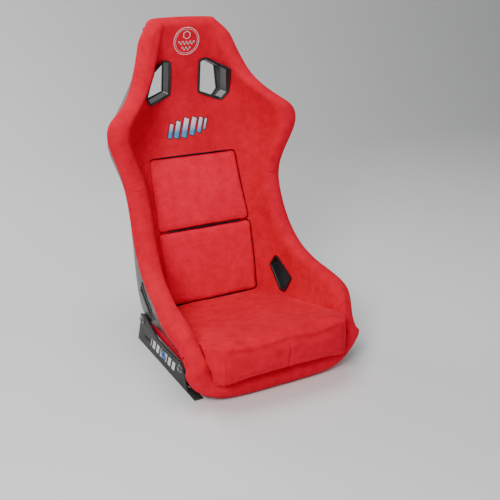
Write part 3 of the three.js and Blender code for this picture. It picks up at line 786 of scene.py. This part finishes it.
def round_corners(corners, radius, steps=8):
    """A closed outline whose corners are arcs."""
    corners = np.asarray(corners, float)
    outline = []
    for before, corner, after in zip(np.roll(corners, 1, 0), corners, np.roll(corners, -1, 0)):
        arriving = (before - corner) / np.linalg.norm(before - corner)
        leaving = (after - corner) / np.linalg.norm(after - corner)
        half = math.acos(np.clip(arriving @ leaving, -1, 1)) / 2
        bisector = (arriving + leaving) / np.linalg.norm(arriving + leaving)
        centre = corner + bisector * radius / math.sin(half)
        first, last = (corner + side * radius / math.tan(half) - centre for side in (arriving, leaving))
        turn = math.atan2(first[0] * last[1] - first[1] * last[0], first @ last)
        for k in range(steps + 1):
            angle = turn * k / steps
            cosine, sine = math.cos(angle), math.sin(angle)
            turned = (first[0] * cosine - first[1] * sine, first[0] * sine + first[1] * cosine)
            outline.append(centre + turned)
    return np.array(outline)


def inset(outline, distance):
    """The outline moved inwards by a distance."""
    ahead = np.roll(outline, -1, 0) - outline
    behind = outline - np.roll(outline, 1, 0)
    along = ahead / np.maximum(lengths(ahead), 1e-9) + behind / np.maximum(lengths(behind), 1e-9)
    along = along / lengths(along)
    area = (outline[:, 0] * np.roll(outline[:, 1], -1) - outline[:, 1] * np.roll(outline[:, 0], -1)).sum()
    inward = np.stack([-along[:, 1], along[:, 0]], -1) * np.sign(area)
    return outline + inward * distance


SHOULDER_CORNERS = [(43, 676), (113, 650), (132, 676), (120, 751), (66, 780), (43, 773)]
LAP_CORNERS = [(-139, 165), (-116, 113), (-92, 115), (-43, 181), (-64, 221), (-98, 195)]
SLOT_CORNER = 11
SHOULDER_OUTLINE = round_corners(SHOULDER_CORNERS, SLOT_CORNER)
LAP_OUTLINE = round_corners(LAP_CORNERS, SLOT_CORNER) + (SHIFT_Y, 0)
SLOT_CLEARANCE = 3.7  # how far inside a bezel's outline the covers and the shell are cut


def slot_tools():
    """The four straight tunnels that the harness openings are cut with."""
    shoulder = prism(inset(SHOULDER_OUTLINE, SLOT_CLEARANCE), 1, -60, 420)
    lap = prism(inset(LAP_OUTLINE, SLOT_CLEARANCE), 0, 150, 300)
    bodies = [shoulder, mirrored_body(shoulder), lap, mirrored_body(lap)]
    tool = add_piece("slot_tool", *joined(bodies), RED_SUEDE)
    outward_facing(tool)
    return tool


def half_space(normal, offset):
    """A block that fills the side of a plane that its normal points to."""
    normal = Vector(normal).normalized()
    size = 3000
    turn = normal.to_track_quat("Z", "Y").to_matrix()
    corners = [(x, y, z) for z in (0, size) for y in (-size, size) for x in (-size, size)]
    points = [list(turn @ Vector(corner) + normal * offset) for corner in corners]
    faces = [(0, 2, 3, 1), (4, 5, 7, 6), (0, 1, 5, 4), (2, 6, 7, 3), (0, 4, 6, 2), (1, 3, 7, 5)]
    return add_piece("half_space", points, faces, RED_SUEDE)


SEAM_GAP = 0.9
SHOULDER_TUNNEL = (42, 132, 652, 778)  # least and greatest width, then height
LAP_TUNNEL = (-137, -45, 115, 219)  # least and greatest Y, then height
LAP_TUNNEL_X = 178
SHOULDER_WALL_LEAN, LAP_WALL_LEAN = 0.2, 0.12  # how far a tunnel's wall may face along the tunnel


def inside(across, height, box):
    return (across > box[0]) & (across < box[1]) & (height > box[2]) & (height < box[3])


def tunnel_walls(mesh):
    """1 for each face on the inside of a harness opening, 0 elsewhere."""
    centres = np.array([face.center for face in mesh.polygons]) / MM
    facing = np.abs(np.array([face.normal for face in mesh.polygons]))
    x, y, z = np.abs(centres[:, 0]), centres[:, 1] - SHIFT_Y, centres[:, 2]
    shoulder = inside(x, z, SHOULDER_TUNNEL) & (facing[:, 1] < SHOULDER_WALL_LEAN)
    lap = (x > LAP_TUNNEL_X) & inside(y, z, LAP_TUNNEL) & (facing[:, 0] < LAP_WALL_LEAN)
    return (shoulder | lap).astype(int)


def part_of(piece, name, planes, finish):
    """A copy of a body cut down to one side of each plane (normal, offset)."""
    copy = bpy.data.objects.new(name, piece.data.copy())
    bpy.context.scene.collection.objects.link(copy)
    for normal, offset in planes:
        carve(copy, half_space(normal, offset + SEAM_GAP / 2), "INTERSECT")
    copy.data.materials.clear()
    copy.data.materials.append(finish)
    copy.data.materials.append(FOAM)
    copy.data.polygons.foreach_set("material_index", tunnel_walls(copy.data))
    crease_shading(copy)
    return copy


# The planes that the covers' seams lie in: a normal and an offset along it.
UPPER_NORMAL = np.array([0, -0.44, 0.9]) / math.hypot(0.44, 0.9)
UPPER_PLANE = (tuple(UPPER_NORMAL), float(UPPER_NORMAL @ (0, 106 + SHIFT_Y, 509)))
LIP_PLANE = ((0, -1, 0), 368 - SHIFT_Y)
SIDE_SEAM_X = 118
RIGHT_PLANE = ((1, 0, 0), SIDE_SEAM_X)
LEFT_PLANE = ((-1, 0, 0), SIDE_SEAM_X)


def opposite(plane):
    normal, offset = plane
    return tuple(-value for value in normal), -offset


def make_covers(pad_tools):
    """The covers and the middle foam, cut from one closed body along the seams."""
    inner_face = SHELL.offset(SHELL_THICKNESS + FIT_GAP)
    sheet = closed_sheet(cover_front, inner_face, COLUMNS, ROWS, cover_rings)
    body = add_piece("cover_body", *sheet, RED_SUEDE)
    carve(body, slot_tools())
    carve(body, pad_tools)
    lower = [opposite(UPPER_PLANE), opposite(LIP_PLANE)]
    middle = [opposite(RIGHT_PLANE), opposite(LEFT_PLANE)]
    plans = [("headrest_skin", "headrest_cover", [UPPER_PLANE], RED_SUEDE, "suede"),
             ("lip_skin", "front_lip_cover", [opposite(UPPER_PLANE), LIP_PLANE], RED_SUEDE, "suede"),
             ("right_bolster_skin", "right_bolster_cover", lower + [RIGHT_PLANE], RED_SUEDE, "suede"),
             ("left_bolster_skin", "left_bolster_cover", lower + [LEFT_PLANE], RED_SUEDE, "suede"),
             ("middle_foam", "centre_foam", lower + middle, FOAM, "foam")]
    for name, node, planes, finish, slot in plans:
        settle(part_of(body, name, planes, finish), [node], slot)
    bpy.data.objects.remove(body)


def make_shell():
    """The glass-fibre bucket, a sheet of even thickness."""
    sheet = closed_sheet(SHELL.offset(SHELL_THICKNESS), SHELL.point, fine_columns(5), fine_rows(12, 160))
    shell = add_piece("shell_laminate", *sheet, GELCOAT)
    carve(shell, slot_tools())
    crease_shading(shell, 50)
    settle(shell, ["shell"], "gelcoat")


# ---------------------------------------------------------------- stuffing
def remesh(piece, voxel):
    """Rebuilds a closed piece from even faces of a size in mm."""
    modifier = piece.modifiers.new("remesh", "REMESH")
    modifier.mode = "VOXEL"
    modifier.voxel_size = voxel * MM
    bake_modifiers(piece)


def smooth_piece(piece, factor, rounds):
    modifier = piece.modifiers.new("smooth", "SMOOTH")
    modifier.factor = factor
    modifier.iterations = rounds
    bake_modifiers(piece)


def coordinates(mesh):
    flat = np.empty(len(mesh.vertices) * 3)
    mesh.vertices.foreach_get("co", flat)
    return flat.reshape(-1, 3)


def place_points(mesh, points):
    mesh.vertices.foreach_set("co", np.ascontiguousarray(points).ravel())
    mesh.update()


def normals(mesh):
    flat = np.empty(len(mesh.vertices) * 3)
    mesh.vertices.foreach_get("normal", flat)
    return flat.reshape(-1, 3)


AIR_PRESSURE = 4
CLOTH_FRAMES = 20


def inflate(piece, cap):
    """Fills a closed cover with air by cloth simulation. cap gives how far each point may move, in mm."""
    start = coordinates(piece.data)
    limit = cap(start / MM)[:, None] * MM
    modifier = piece.modifiers.new("cloth", "CLOTH")
    modifier.settings.use_pressure = True
    modifier.settings.uniform_pressure_force = AIR_PRESSURE
    modifier.settings.effector_weights.gravity = 0
    modifier.settings.quality = 5
    scene = bpy.context.scene
    for step in range(1, CLOTH_FRAMES + 1):
        scene.frame_set(step)
    graph = bpy.context.evaluated_depsgraph_get()
    moved = coordinates(piece.evaluated_get(graph).data)
    piece.modifiers.clear()
    scene.frame_set(1)
    shift = moved - start
    far = lengths(shift)
    place_points(piece.data, start + shift * np.minimum(1, limit / np.maximum(far, 1e-9)))


def subdivide(piece, levels=1):
    modifier = piece.modifiers.new("subdivision", "SUBSURF")
    modifier.levels = levels
    bake_modifiers(piece)


def displace(piece, relief):
    """Moves each point along its normal by relief(points in mm), in mm."""
    points = coordinates(piece.data)
    place_points(piece.data, points + normals(piece.data) * relief(points / MM)[:, None] * MM)


def rounded_drop(distance, radius):
    """How far an edge of this radius falls away at a distance from the edge."""
    near = np.clip(radius - distance, 0, radius)
    return radius - np.sqrt(radius ** 2 - near ** 2)


# ---------------------------------------------------------------- back pads
PAD_DEPTH = 26
PAD_CORNER = 13
PAD_EDGE_RADIUS = 6
BACK_PADS = {"upper_back_pad": (308.2, 508, 147.5, 137.5), "lower_back_pad": (95, 307.4, 146.5, 149.5)}
# bottom, top, half width at the bottom and at the top
POCKET_ROOM = 0.8  # how much wider than a pad's plan its pocket in the foam is
POCKET_HEIGHT = 30.0
PAD_SHRINK = -0.5
PAD_VOXEL = 3.4
FRONT_SWELL, BACK_SWELL = 2.4, 0.5  # how far the air may push a pad's front and the rest of it
FRONT_REACH = 0.012  # metres from the cover's surface that count as the pad's front


def row_at_height(z):
    """The row at which the centre line reaches a height."""
    rows = np.linspace(0.25, 1, 2000)
    heights = COVER.point(np.zeros_like(rows), rows)[:, 2]
    return np.interp(z, heights, rows)


def column_at_width(x, rows):
    """Columns whose points lie this far from the middle."""
    low, high = np.zeros_like(rows), np.ones_like(rows)
    for _ in range(24):
        middle = (low + high) / 2
        nearer = COVER.point(middle, rows)[:, 0] < x
        low, high = np.where(nearer, middle, low), np.where(nearer, high, middle)
    return low


def pad_body(plan, swell, front_height, steps=60):
    """A pad over a patch of the cover, with rounded corners, grown by a swell on its sides and back."""
    bottom, top, width_bottom, width_top = plan
    row_from, row_to = row_at_height(bottom), row_at_height(top)
    slack = swell / (top - bottom)
    height = top - bottom + 2 * swell
    corner = PAD_CORNER + swell

    def place(s, t):
        row = row_from + (row_to - row_from) * (t * (1 + 2 * slack) - slack)
        end = np.minimum(t, 1 - t) * height
        width = width_bottom + (width_top - width_bottom) * t + swell - rounded_drop(end, corner)
        return np.sign(s) * column_at_width(np.abs(s) * width, row), row

    def gap_to_edge(s, t):
        return np.minimum((1 - np.abs(s)) * width_bottom, np.minimum(t, 1 - t) * height)

    def face(level):
        return lambda s, t: COVER.offset(level(s, t))(*place(s, t))
    ends = 0.5 - 0.5 * np.cos(np.linspace(0, math.pi, steps))
    return closed_sheet(face(lambda s, t: front_height(s, t, gap_to_edge(s, t))),
                        face(lambda s, t: np.full_like(s, -PAD_DEPTH - swell)), ends * 2 - 1, ends)


def pad_pockets():
    """The room that both pads take up in the covers."""
    def height(s, t, gap):
        return np.full_like(s, POCKET_HEIGHT)
    bodies = [pad_body(plan, POCKET_ROOM, height) for plan in BACK_PADS.values()]
    return add_piece("pad_pockets", *joined(bodies), RED_SUEDE)


def pad_front(s, t, gap):
    """A pad's domed front with rounded edges, as a height above the cover."""
    crown = 0.3 + 4.5 * (1 - s ** 6) * (1 - (2 * t - 1) ** 6)
    return crown - rounded_drop(gap, PAD_EDGE_RADIUS) * 0.9


def pad_relief(points):
    """Soft lumps and fine folds of a pad's suede."""
    return (0.45 * value_noise(points, 55, 11) + 0.25 * value_noise(points, 16, 12)
            - 0.7 * np.maximum(0, 1 - np.abs(value_noise(points * (1, 1, 0.6), 46, 13)) * 9) ** 2)


def make_back_pads(cover_tree):
    """The two loose pads, blown up inside their covers and then creased."""
    def cap(points):
        depth = np.array([cover_tree.find_nearest(Vector(point * MM))[3] or 0 for point in points])
        return np.where(depth < FRONT_REACH, FRONT_SWELL, BACK_SWELL)

    for name, plan in BACK_PADS.items():
        pad_name = name.replace("back_pad", "back_cushion")
        pad = add_piece(pad_name, *pad_body(plan, PAD_SHRINK, pad_front), PAD_SUEDE_PAINTED_LIGHT)
        remesh(pad, PAD_VOXEL)
        smooth_piece(pad, 0.5, 4)
        inflate(pad, cap)
        subdivide(pad)
        displace(pad, pad_relief)
        crease_shading(pad, 180)
        settle(pad, [name], "suede")


# ---------------------------------------------------------------- seat cushion
CUSHION_REAR, CUSHION_FRONT, CUSHION_BASE = -16, -450, 51
CUSHION_WIDTH, NOSE_WIDTH, NOSE = 214, 180, 0.84
REAR_TOP, CREST, BOW = 103, 178, 12
CUSHION_EDGE_RADIUS = 9
CUSHION_SHRINK, TOP_SHRINK = 1.6, 5  # how far inside its CAD shape the cushion starts
CUSHION_VOXEL = 4.6
CUSHION_CLEARANCE = 2.4


def cushion_height(x, along):
    """Height of the cushion's top, with a hollow for each thigh; along runs from its rear to its front."""
    thigh = np.minimum(np.abs(x) / 95, 2)
    return REAR_TOP + (CREST - REAR_TOP) * along ** 1.25 - 5 * along ** 2 * np.sin(math.pi / 2 * thigh) ** 2


def cushion_body(shrink, top_shrink):
    """The cushion before it is cut to the covers: a top, a base and straight sides between them."""
    length = CUSHION_REAR - CUSHION_FRONT - 2 * shrink

    def place(s, t):
        nose = np.maximum(0, (t - NOSE) / (1 - NOSE))
        width = CUSHION_WIDTH - (CUSHION_WIDTH - NOSE_WIDTH) * nose ** 1.5 - shrink
        return s * width, CUSHION_REAR - shrink - length * t - BOW * t ** 4 * (1 - s * s), nose

    def top(s, t):
        x, y, _ = place(s, 1 - t)
        gap = np.minimum((1 - np.abs(s)) * CUSHION_WIDTH, t * length)
        ease = np.sin(math.pi * np.clip(t * 1.4, 0, 1) / 2 + 0.4)
        z = cushion_height(x, 1 - t) - top_shrink * ease * (1 - t ** 6)
        z = z - rounded_drop(gap, CUSHION_EDGE_RADIUS)
        return np.stack([x, y + SHIFT_Y, z], -1)

    def base(s, t):
        x, y, nose = place(s, 1 - t)
        z = CUSHION_BASE + shrink + (28 - 12 * s * s) * nose ** 0.8
        return np.stack([x, y + SHIFT_Y, z], -1)

    def sides(s, t):
        return [top(s, t) * (1 - share) + base(s, t) * share for share in np.linspace(0, 1, 14)[1:-1]]
    ends = 0.5 - 0.5 * np.cos(np.linspace(0, math.pi, 60))
    return closed_sheet(top, base, ends * 2 - 1, ends, sides)


def cover_space(clearance):
    """The room that the covers and the shell take up, grown towards the sitter."""
    middle = SHELL.offset(SHELL_THICKNESS / 2)

    def back(u, v):
        return middle(*folded_in(u, v))

    def rim(u, v):
        return cover_rings(u, v)[:ROLL_STEPS]
    body = closed_sheet(COVER.offset(clearance), back, fine_columns(2), fine_rows(6, 70), rim)
    return add_piece("cover_space", *body, RED_SUEDE)


def cushion_relief(points):
    """Puckers where the suede lies loose on the cushion's top, and soft lumps."""
    x, y, z = points.T
    warped = points + 14 * np.stack([value_noise(points, 60, 31), value_noise(points, 60, 32), 0 * x], -1)
    ridge = np.abs(value_noise(warped * (0.8, 1.5, 0.4), 52, 33))
    pucker = np.maximum(0, 1 - ridge * 6) ** 2
    fine = np.maximum(0, 1 - np.abs(value_noise(warped * (1.1, 1.8, 0.4), 30, 34)) * 7) ** 2
    loose = np.clip(0.35 + value_noise(points, 90, 35) * 0.9, 0, 1)
    rear = np.clip((y + 230) / 130, 0.25, 1)
    top = np.clip((z - 88 - np.clip(SHIFT_Y + CUSHION_REAR - y, 0, 500) * 0.13) / 20, 0, 1)
    return ((0.9 * value_noise(points, 60, 36) + 0.35 * value_noise(points, 20, 37)) * (0.3 + 0.7 * top)
            - (4.4 * pucker + 1.8 * fine) * loose * rear * top - cushion_seams(points))


def cushion_seams(points):
    """Grooves of the hem below the front edge, the front's two corners and its middle."""
    x, y, z = points.T
    front = y < CUSHION_FRONT + SHIFT_Y + 30
    hem = cushion_height(x, 1) - 21
    groove = 1.6 * np.exp(-((z - hem) / 2.4) ** 2) * (np.abs(x) < NOSE_WIDTH)
    corner = 1.4 * np.exp(-((np.abs(x) - NOSE_WIDTH + 7) / 2.6) ** 2) * (z < hem)
    middle = 1.4 * np.exp(-(x / 2.4) ** 2) * (z < 128)
    return np.where(front, np.maximum(groove, np.maximum(corner, middle)), 0)


def make_cushion():
    """The loose cushion, cut to lie in the covers, blown up and then puckered."""
    body = cushion_body(CUSHION_SHRINK, TOP_SHRINK)
    cushion = add_piece("thigh_cushion", *body, RED_SUEDE)
    carve(cushion, cover_space(CUSHION_CLEARANCE))
    remesh(cushion, CUSHION_VOXEL)
    smooth_piece(cushion, 0.5, 4)

    def cap(points):
        x, y, z = points.T
        along = np.clip((CUSHION_REAR + SHIFT_Y - y) / (CUSHION_REAR - CUSHION_FRONT), 0, 1)
        height = (z - CUSHION_BASE) / (cushion_height(x, along) - CUSHION_BASE)
        top = np.clip((height - 0.55) / 0.3, 0, 1)
        front = np.clip((along - 0.9) / 0.05, 0, 1)
        inner = np.clip((190 - np.abs(x)) / 30, 0, 1)
        return 1.2 + 5.5 * np.maximum(top * inner, 0.25 * front)

    inflate(cushion, cap)
    subdivide(cushion)
    displace(cushion, cushion_relief)
    crease_shading(cushion, 180)
    settle(cushion, ["seat_cushion"], "suede")
    return cushion


def surface_tree(piece):
    return BVHTree.FromObject(piece, bpy.context.evaluated_depsgraph_get())


def front_of(tree, x, z):
    """The point of a surface that someone in front of it sees at this width and height."""
    hit = tree.ray_cast(Vector((x, -1000, z)) * MM, Vector((0, 1, 0)))[0]
    return np.array(hit) / MM


POCKET_INNER, POCKET_WIDTH = 2, 166
POCKET_BASE, POCKET_TOP, POCKET_DIP = 91, 153, 3
POCKET_STAND, POCKET_PUFF = 2.0, 1.1
POCKET_EDGE = 0.03  # share of a panel over which its edge is rounded


def pocket_face(tree, side, stand, puff):
    """A pocket panel's face, standing a little off the cushion's front."""
    def face(s, t):
        x = side * (POCKET_INNER + POCKET_WIDTH * (side * s + 1) / 2)
        top = POCKET_TOP - POCKET_DIP * np.sin(math.pi * np.abs(x) / 190) ** 2
        z = POCKET_BASE + (top - POCKET_BASE) * t - 3 * rounded_drop(np.minimum(t, 1 - t) * 60, 1)
        dome = puff * np.sin(math.pi * np.clip(t, 0, 1)) * np.sin(math.pi * (s + 1) / 2)
        points = np.array([front_of(tree, a, b) for a, b in zip(x, z)])
        edge = np.minimum(1 - np.abs(s), np.minimum(t, 1 - t) * 1.2)
        lift = stand * np.clip(edge / POCKET_EDGE, 0.2, 1) ** 0.5 + dome
        return points - np.stack([0 * x, lift, 0 * x], -1)
    return face


def make_pockets(cushion):
    """Two suede panels across the cushion's front."""
    tree = surface_tree(cushion)
    columns = np.concatenate([[-1, -0.985, -0.96], np.linspace(-0.93, 0.93, 44), [0.96, 0.985, 1]])
    rows = np.concatenate([[0, 0.02, 0.05], np.linspace(0.09, 0.91, 18), [0.95, 0.98, 1]])
    for side, suffix in ((1, "right"), (-1, "left")):
        front = pocket_face(tree, side, POCKET_STAND, POCKET_PUFF)
        back = pocket_face(tree, side, 0.25, 0)
        pocket = add_piece(f"pocket_panel_{suffix}", *closed_sheet(front, back, columns, rows), RED_SUEDE)
        crease_shading(pocket, 60)
        settle(pocket, [f"front_pocket_{suffix}"], "suede")


# ---------------------------------------------------------------- harness bezels
# Across a bezel, from its foot on the outside to the end of its sleeve: inset and height in mm.
SLEEVE_WIDTH, SLEEVE_OUTSIDE = 7, 4.6
SLEEVE_DEPTH, REAR_SLEEVE_DEPTH = 38, 3.9
BEZEL_PROFILE = [(0, FIT_GAP), (0, 1.8), (0.35, 2.7), (1.2, 3.1), (3.6, 3.2), (5.4, 3.0), (6.4, 2.3),
                 (6.9, 1.2), (SLEEVE_WIDTH, -2), (SLEEVE_WIDTH, -SLEEVE_DEPTH),
                 (SLEEVE_OUTSIDE, -SLEEVE_DEPTH), (SLEEVE_OUTSIDE, FIT_GAP)]
REAR_PROFILE = [(0, FIT_GAP), (0, 1.5), (0.5, 2.3), (1.4, 2.6), (5.4, 2.6), (6.5, 2.1),
                (SLEEVE_WIDTH, 1.1), (SLEEVE_WIDTH, -REAR_SLEEVE_DEPTH),
                (SLEEVE_OUTSIDE, -REAR_SLEEVE_DEPTH), (SLEEVE_OUTSIDE, FIT_GAP)]


def swept_bezel(name, surface, outline, axes, window, sleeve_axis, inward, profile):
    """A bezel swept along its outline on a surface; heights below the surface run along one axis."""
    rings = []
    for distance, height in profile:
        u, v = surface.find(axes, inset(outline, distance), *window)
        points = surface.point(u, v)
        normal = surface.normal(u, v) * (1 if surface is COVER else -1)
        if height > 0:
            points = points + normal * height
        else:
            points[:, sleeve_axis] -= inward * height
        rings.append(points)
    count, levels = len(outline), len(rings)
    index = np.arange(count * levels).reshape(levels, count)
    a, b = index, np.roll(index, -1, 0)
    quads = np.stack([a, np.roll(a, -1, 1), np.roll(b, -1, 1), b], -1).reshape(-1, 4).tolist()
    bezel = add_piece(name, np.concatenate(rings), quads, PLASTIC)
    outward_facing(bezel)
    crease_shading(bezel, 35)
    return bezel


def make_bezels():
    """The moulded frames of the four harness openings, inside and outside."""
    shoulder, lap = ((0, 1), (0.5, 0.95)), ((0.2, 1), (0.1, 0.55))
    plans = [
        ("shoulder_bezel_front", COVER, SHOULDER_OUTLINE, [0, 2], shoulder, 1, 1, BEZEL_PROFILE),
        ("shoulder_bezel_rear", SHELL, SHOULDER_OUTLINE, [0, 2], shoulder, 1, -1, REAR_PROFILE),
        ("lap_bezel_inner", COVER, LAP_OUTLINE, [1, 2], lap, 0, 1, BEZEL_PROFILE),
        ("lap_bezel_outer", SHELL, LAP_OUTLINE, [1, 2], lap, 0, -1, REAR_PROFILE),
    ]
    for node, *plan in plans:
        right = swept_bezel(f"{node}_ring_right", *plan)
        left = twin(right, f"{node}_ring_left")
        settle(right, [f"{node}_right"], "black_plastic")
        settle(left, [f"{node}_left"], "black_plastic")


# ---------------------------------------------------------------- embroidery
def satin_band(path, widths, stand=0.9, pitch=0.9):
    """A raised band of satin stitches along a path of (x, z) places on the cover."""
    path = np.asarray(path, float)
    steps = np.concatenate([[0], np.cumsum(np.linalg.norm(np.diff(path, axis=0), axis=1))])
    count = max(4, int(steps[-1] / pitch * 2))
    at = np.linspace(0, steps[-1], count)
    middle = np.stack([np.interp(at, steps, path[:, k]) for k in range(2)], -1)
    width = np.interp(at, steps, np.broadcast_to(widths, len(path)))
    along = np.gradient(middle, axis=0)
    along = along / lengths(along)
    across = np.stack([-along[:, 1], along[:, 0]], -1)
    blocks = []
    for share, lift in ((-1, 0.1), (-0.8, 0.6), (0, 1), (0.8, 0.6), (1, 0.1)):
        place = middle + across * (share * width / 2)[:, None]
        ridge = np.where(np.arange(count) % 2, 1.0, 0.72)
        blocks.append((place, FIT_GAP + 0.15 + stand * lift * ridge))
    blocks.append((middle, np.full(count, FIT_GAP)))
    u, v = COVER.find([0, 2], np.concatenate([place for place, _ in blocks]), (-0.9, 0.9), (0.5, 1.0))
    points = COVER.offset(np.concatenate([height for _, height in blocks]))(u, v)
    index = np.arange(len(points)).reshape(len(blocks), count).T
    a, b = index[:-1], index[1:]
    quads = np.stack([a, b, np.roll(b, -1, 1), np.roll(a, -1, 1)], -1).reshape(-1, 4).tolist()
    return points, quads + [index[0].tolist(), index[-1][::-1].tolist()]


def circle(radius, z, steps=96):
    """A circle of (x, z) places round the centre line."""
    turn = np.linspace(0, 2 * math.pi, steps + 1)
    return np.stack([radius * np.sin(turn), z + radius * np.cos(turn)], -1)


def embroidery(name, bands, finish, nodes, slot):
    work = add_piece(name, *joined(bands), finish)
    outward_facing(work)
    crease_shading(work, 60)
    settle(work, nodes, slot)


EMBLEM_Z = 829
OUTER_RING, INNER_RING, CHECKS_RADIUS = 38.2, 33.5, 28
HEXAGON, HEXAGON_RISE = 11, 17
CHECK_PITCH, CHECK_HALF, BAND_GAP = 5.6, 2.6, 5


def make_emblem():
    """A stitched ring round a hexagon, with two chequered bands across it."""
    rim = [satin_band(circle(OUTER_RING, EMBLEM_Z), 1.7), satin_band(circle(INNER_RING, EMBLEM_Z), 0.9)]
    corner = math.radians(60)
    middle = EMBLEM_Z + HEXAGON_RISE
    hexagon = [(HEXAGON * math.sin(corner * k), middle + HEXAGON * math.cos(corner * k)) for k in range(7)]
    checks = []
    for row in range(4):
        for column in range(-4, 5):
            if (row + column) % 2:
                continue
            x = column * CHECK_PITCH
            z = EMBLEM_Z - 2 - row * CHECK_PITCH - (BAND_GAP if row > 1 else 0)
            if math.hypot(x, z - EMBLEM_Z) < CHECKS_RADIUS:
                checks.append(satin_band([(x - CHECK_HALF, z), (x + CHECK_HALF, z)], 5.0, 0.7))
    embroidery("emblem_ring", rim + [satin_band(hexagon, 1.8)], WHITE_THREAD, ["headrest_emblem"],
               "thread_white")
    embroidery("emblem_checks", checks, GREY_THREAD, [], "thread_white")


# Each stripe's place across the back, width and height above the row's middle.
STRIPES = [(-56, 11, 21), (-36, 14, 25), (-12, 16, 29), (14, 15, 27), (38, 12, 23), (57, 7, 17)]
STRIPES_Z, STRIPES_LEAN, STRIPES_SLOPE = 580, 0.38, 0.10
EDGING = 2.2


def stripe_path(start, height, margin):
    """A slanted line of (x, z) places along one stripe, longer by a margin at each end."""
    low, high = STRIPES_Z - height * 0.75, STRIPES_Z + height
    return [(start - STRIPES_LEAN * 20 + STRIPES_LEAN * (z - low), z + STRIPES_SLOPE * start)
            for z in np.linspace(low - margin, high + margin, 8)]


def make_speed_stripes():
    """Slanted speed stripes between the shoulders, edged in black."""
    edges = [satin_band(stripe_path(start, height, 1.8), width + 2 * EDGING, 0.45)
             for start, width, height in STRIPES]
    fills = [satin_band(stripe_path(start, height, 0), width, 1.0) for start, width, height in STRIPES]
    embroidery("stripe_edging", edges, BLACK_THREAD, ["stripe_patch"], "thread_blue")
    embroidery("stripe_filling", fills, STRIPE_THREAD, [], "thread_blue")


# ---------------------------------------------------------------- brackets and fasteners
SAME_POINT = 0.00001


def finer_copy(node, finish, slot, bevel):
    """A copy of a hard CAD node with its edges rounded over."""
    source = bpy.data.objects[node]
    copy = bpy.data.objects.new(f"finished_{node}", source.data.copy())
    bpy.context.scene.collection.objects.link(copy)
    work = bmesh.new()
    work.from_mesh(copy.data)
    bmesh.ops.remove_doubles(work, verts=work.verts, dist=SAME_POINT)
    bmesh.ops.dissolve_limit(work, angle_limit=math.radians(1), verts=work.verts, edges=work.edges)
    work.to_mesh(copy.data)
    work.free()
    modifier = copy.modifiers.new("bevel", "BEVEL")
    modifier.width = bevel * MM
    modifier.segments = 2
    modifier.limit_method = "ANGLE"
    modifier.angle_limit = math.radians(40)
    bake_modifiers(copy)
    copy.data.materials.clear()
    copy.data.materials.append(finish)
    crease_shading(copy, 35)
    settle(copy, [node], slot)


def make_hardware():
    """Both brackets and their fasteners."""
    for side in ("right", "left"):
        finer_copy(f"side_bracket_{side}", BRACKET_COAT, "black_steel", 0.8)
        for mount in ("rear", "front"):
            finer_copy(f"{mount}_bolt_{side}", ZINC, "zinc", 0.6)
            finer_copy(f"{mount}_washer_{side}", ZINC, "zinc", 0.4)
            finer_copy(f"{mount}_spacer_{side}", POWDER_COAT, "black_steel", 0.5)


def refinish(node, finish):
    """Gives its finish to a CAD node that stays in the scene."""
    for slot in bpy.data.objects[node].material_slots:
        slot.material = finish


def refinish_hidden_nodes():
    """The strips behind the pads and the inserts in the shell, which stay as they are."""
    for side in ("right", "left"):
        for pad in ("upper", "lower"):
            refinish(f"{pad}_back_pad_strip_{side}", TAPE)
        for mount in ("rear", "front"):
            refinish(f"{mount}_insert_{side}", ZINC)


# ---------------------------------------------------------------- assembly
def plain_cover_tree():
    """A search tree of the cover without its relief or openings."""
    sheet = closed_sheet(COVER.point, SHELL.point, fine_columns(2), fine_rows(4, 60))
    probe = add_piece("probe", *sheet, RED_SUEDE)
    tree = surface_tree(probe)
    bpy.data.objects.remove(probe)
    return tree


make_covers(pad_pockets())
make_shell()
make_back_pads(plain_cover_tree())
make_pockets(make_cushion())
make_bezels()
make_emblem()
make_speed_stripes()
make_hardware()
refinish_hidden_nodes()


# ---------------------------------------------------------------- stage
def pale_floor():
    finish = Finish("pale_floor")
    cloud = finish.noise(finish.place(), 2, 2)
    colour = finish.mix(cloud, (0.78, 0.78, 0.78), (0.82, 0.82, 0.82))
    return finish.surface(base_color=colour, roughness=0.8)


FLOOR_FRONT, FLOOR_REAR, FLOOR_HALF_WIDTH = -6000, 1800, 7000
FLOOR_BEND, BACKDROP_HEIGHT, FLOOR_GAP = 900, 6000, 0.5


def make_floor():
    """A floor that curves up into a backdrop."""
    profile = [(FLOOR_FRONT, 0), (FLOOR_REAR, 0)]
    for turn in np.linspace(0.1, math.pi / 2, 12):
        profile.append((FLOOR_REAR + FLOOR_BEND * math.sin(turn), FLOOR_BEND - FLOOR_BEND * math.cos(turn)))
    profile += [(FLOOR_REAR + FLOOR_BEND, BACKDROP_HEIGHT)]
    sides = (-FLOOR_HALF_WIDTH, FLOOR_HALF_WIDTH)
    points = [(x, y, z - FLOOR_GAP) for y, z in profile for x in sides]
    faces = [(2 * k, 2 * k + 1, 2 * k + 3, 2 * k + 2) for k in range(len(profile) - 1)]
    add_piece("studio_floor", points, faces, pale_floor())


make_floor()
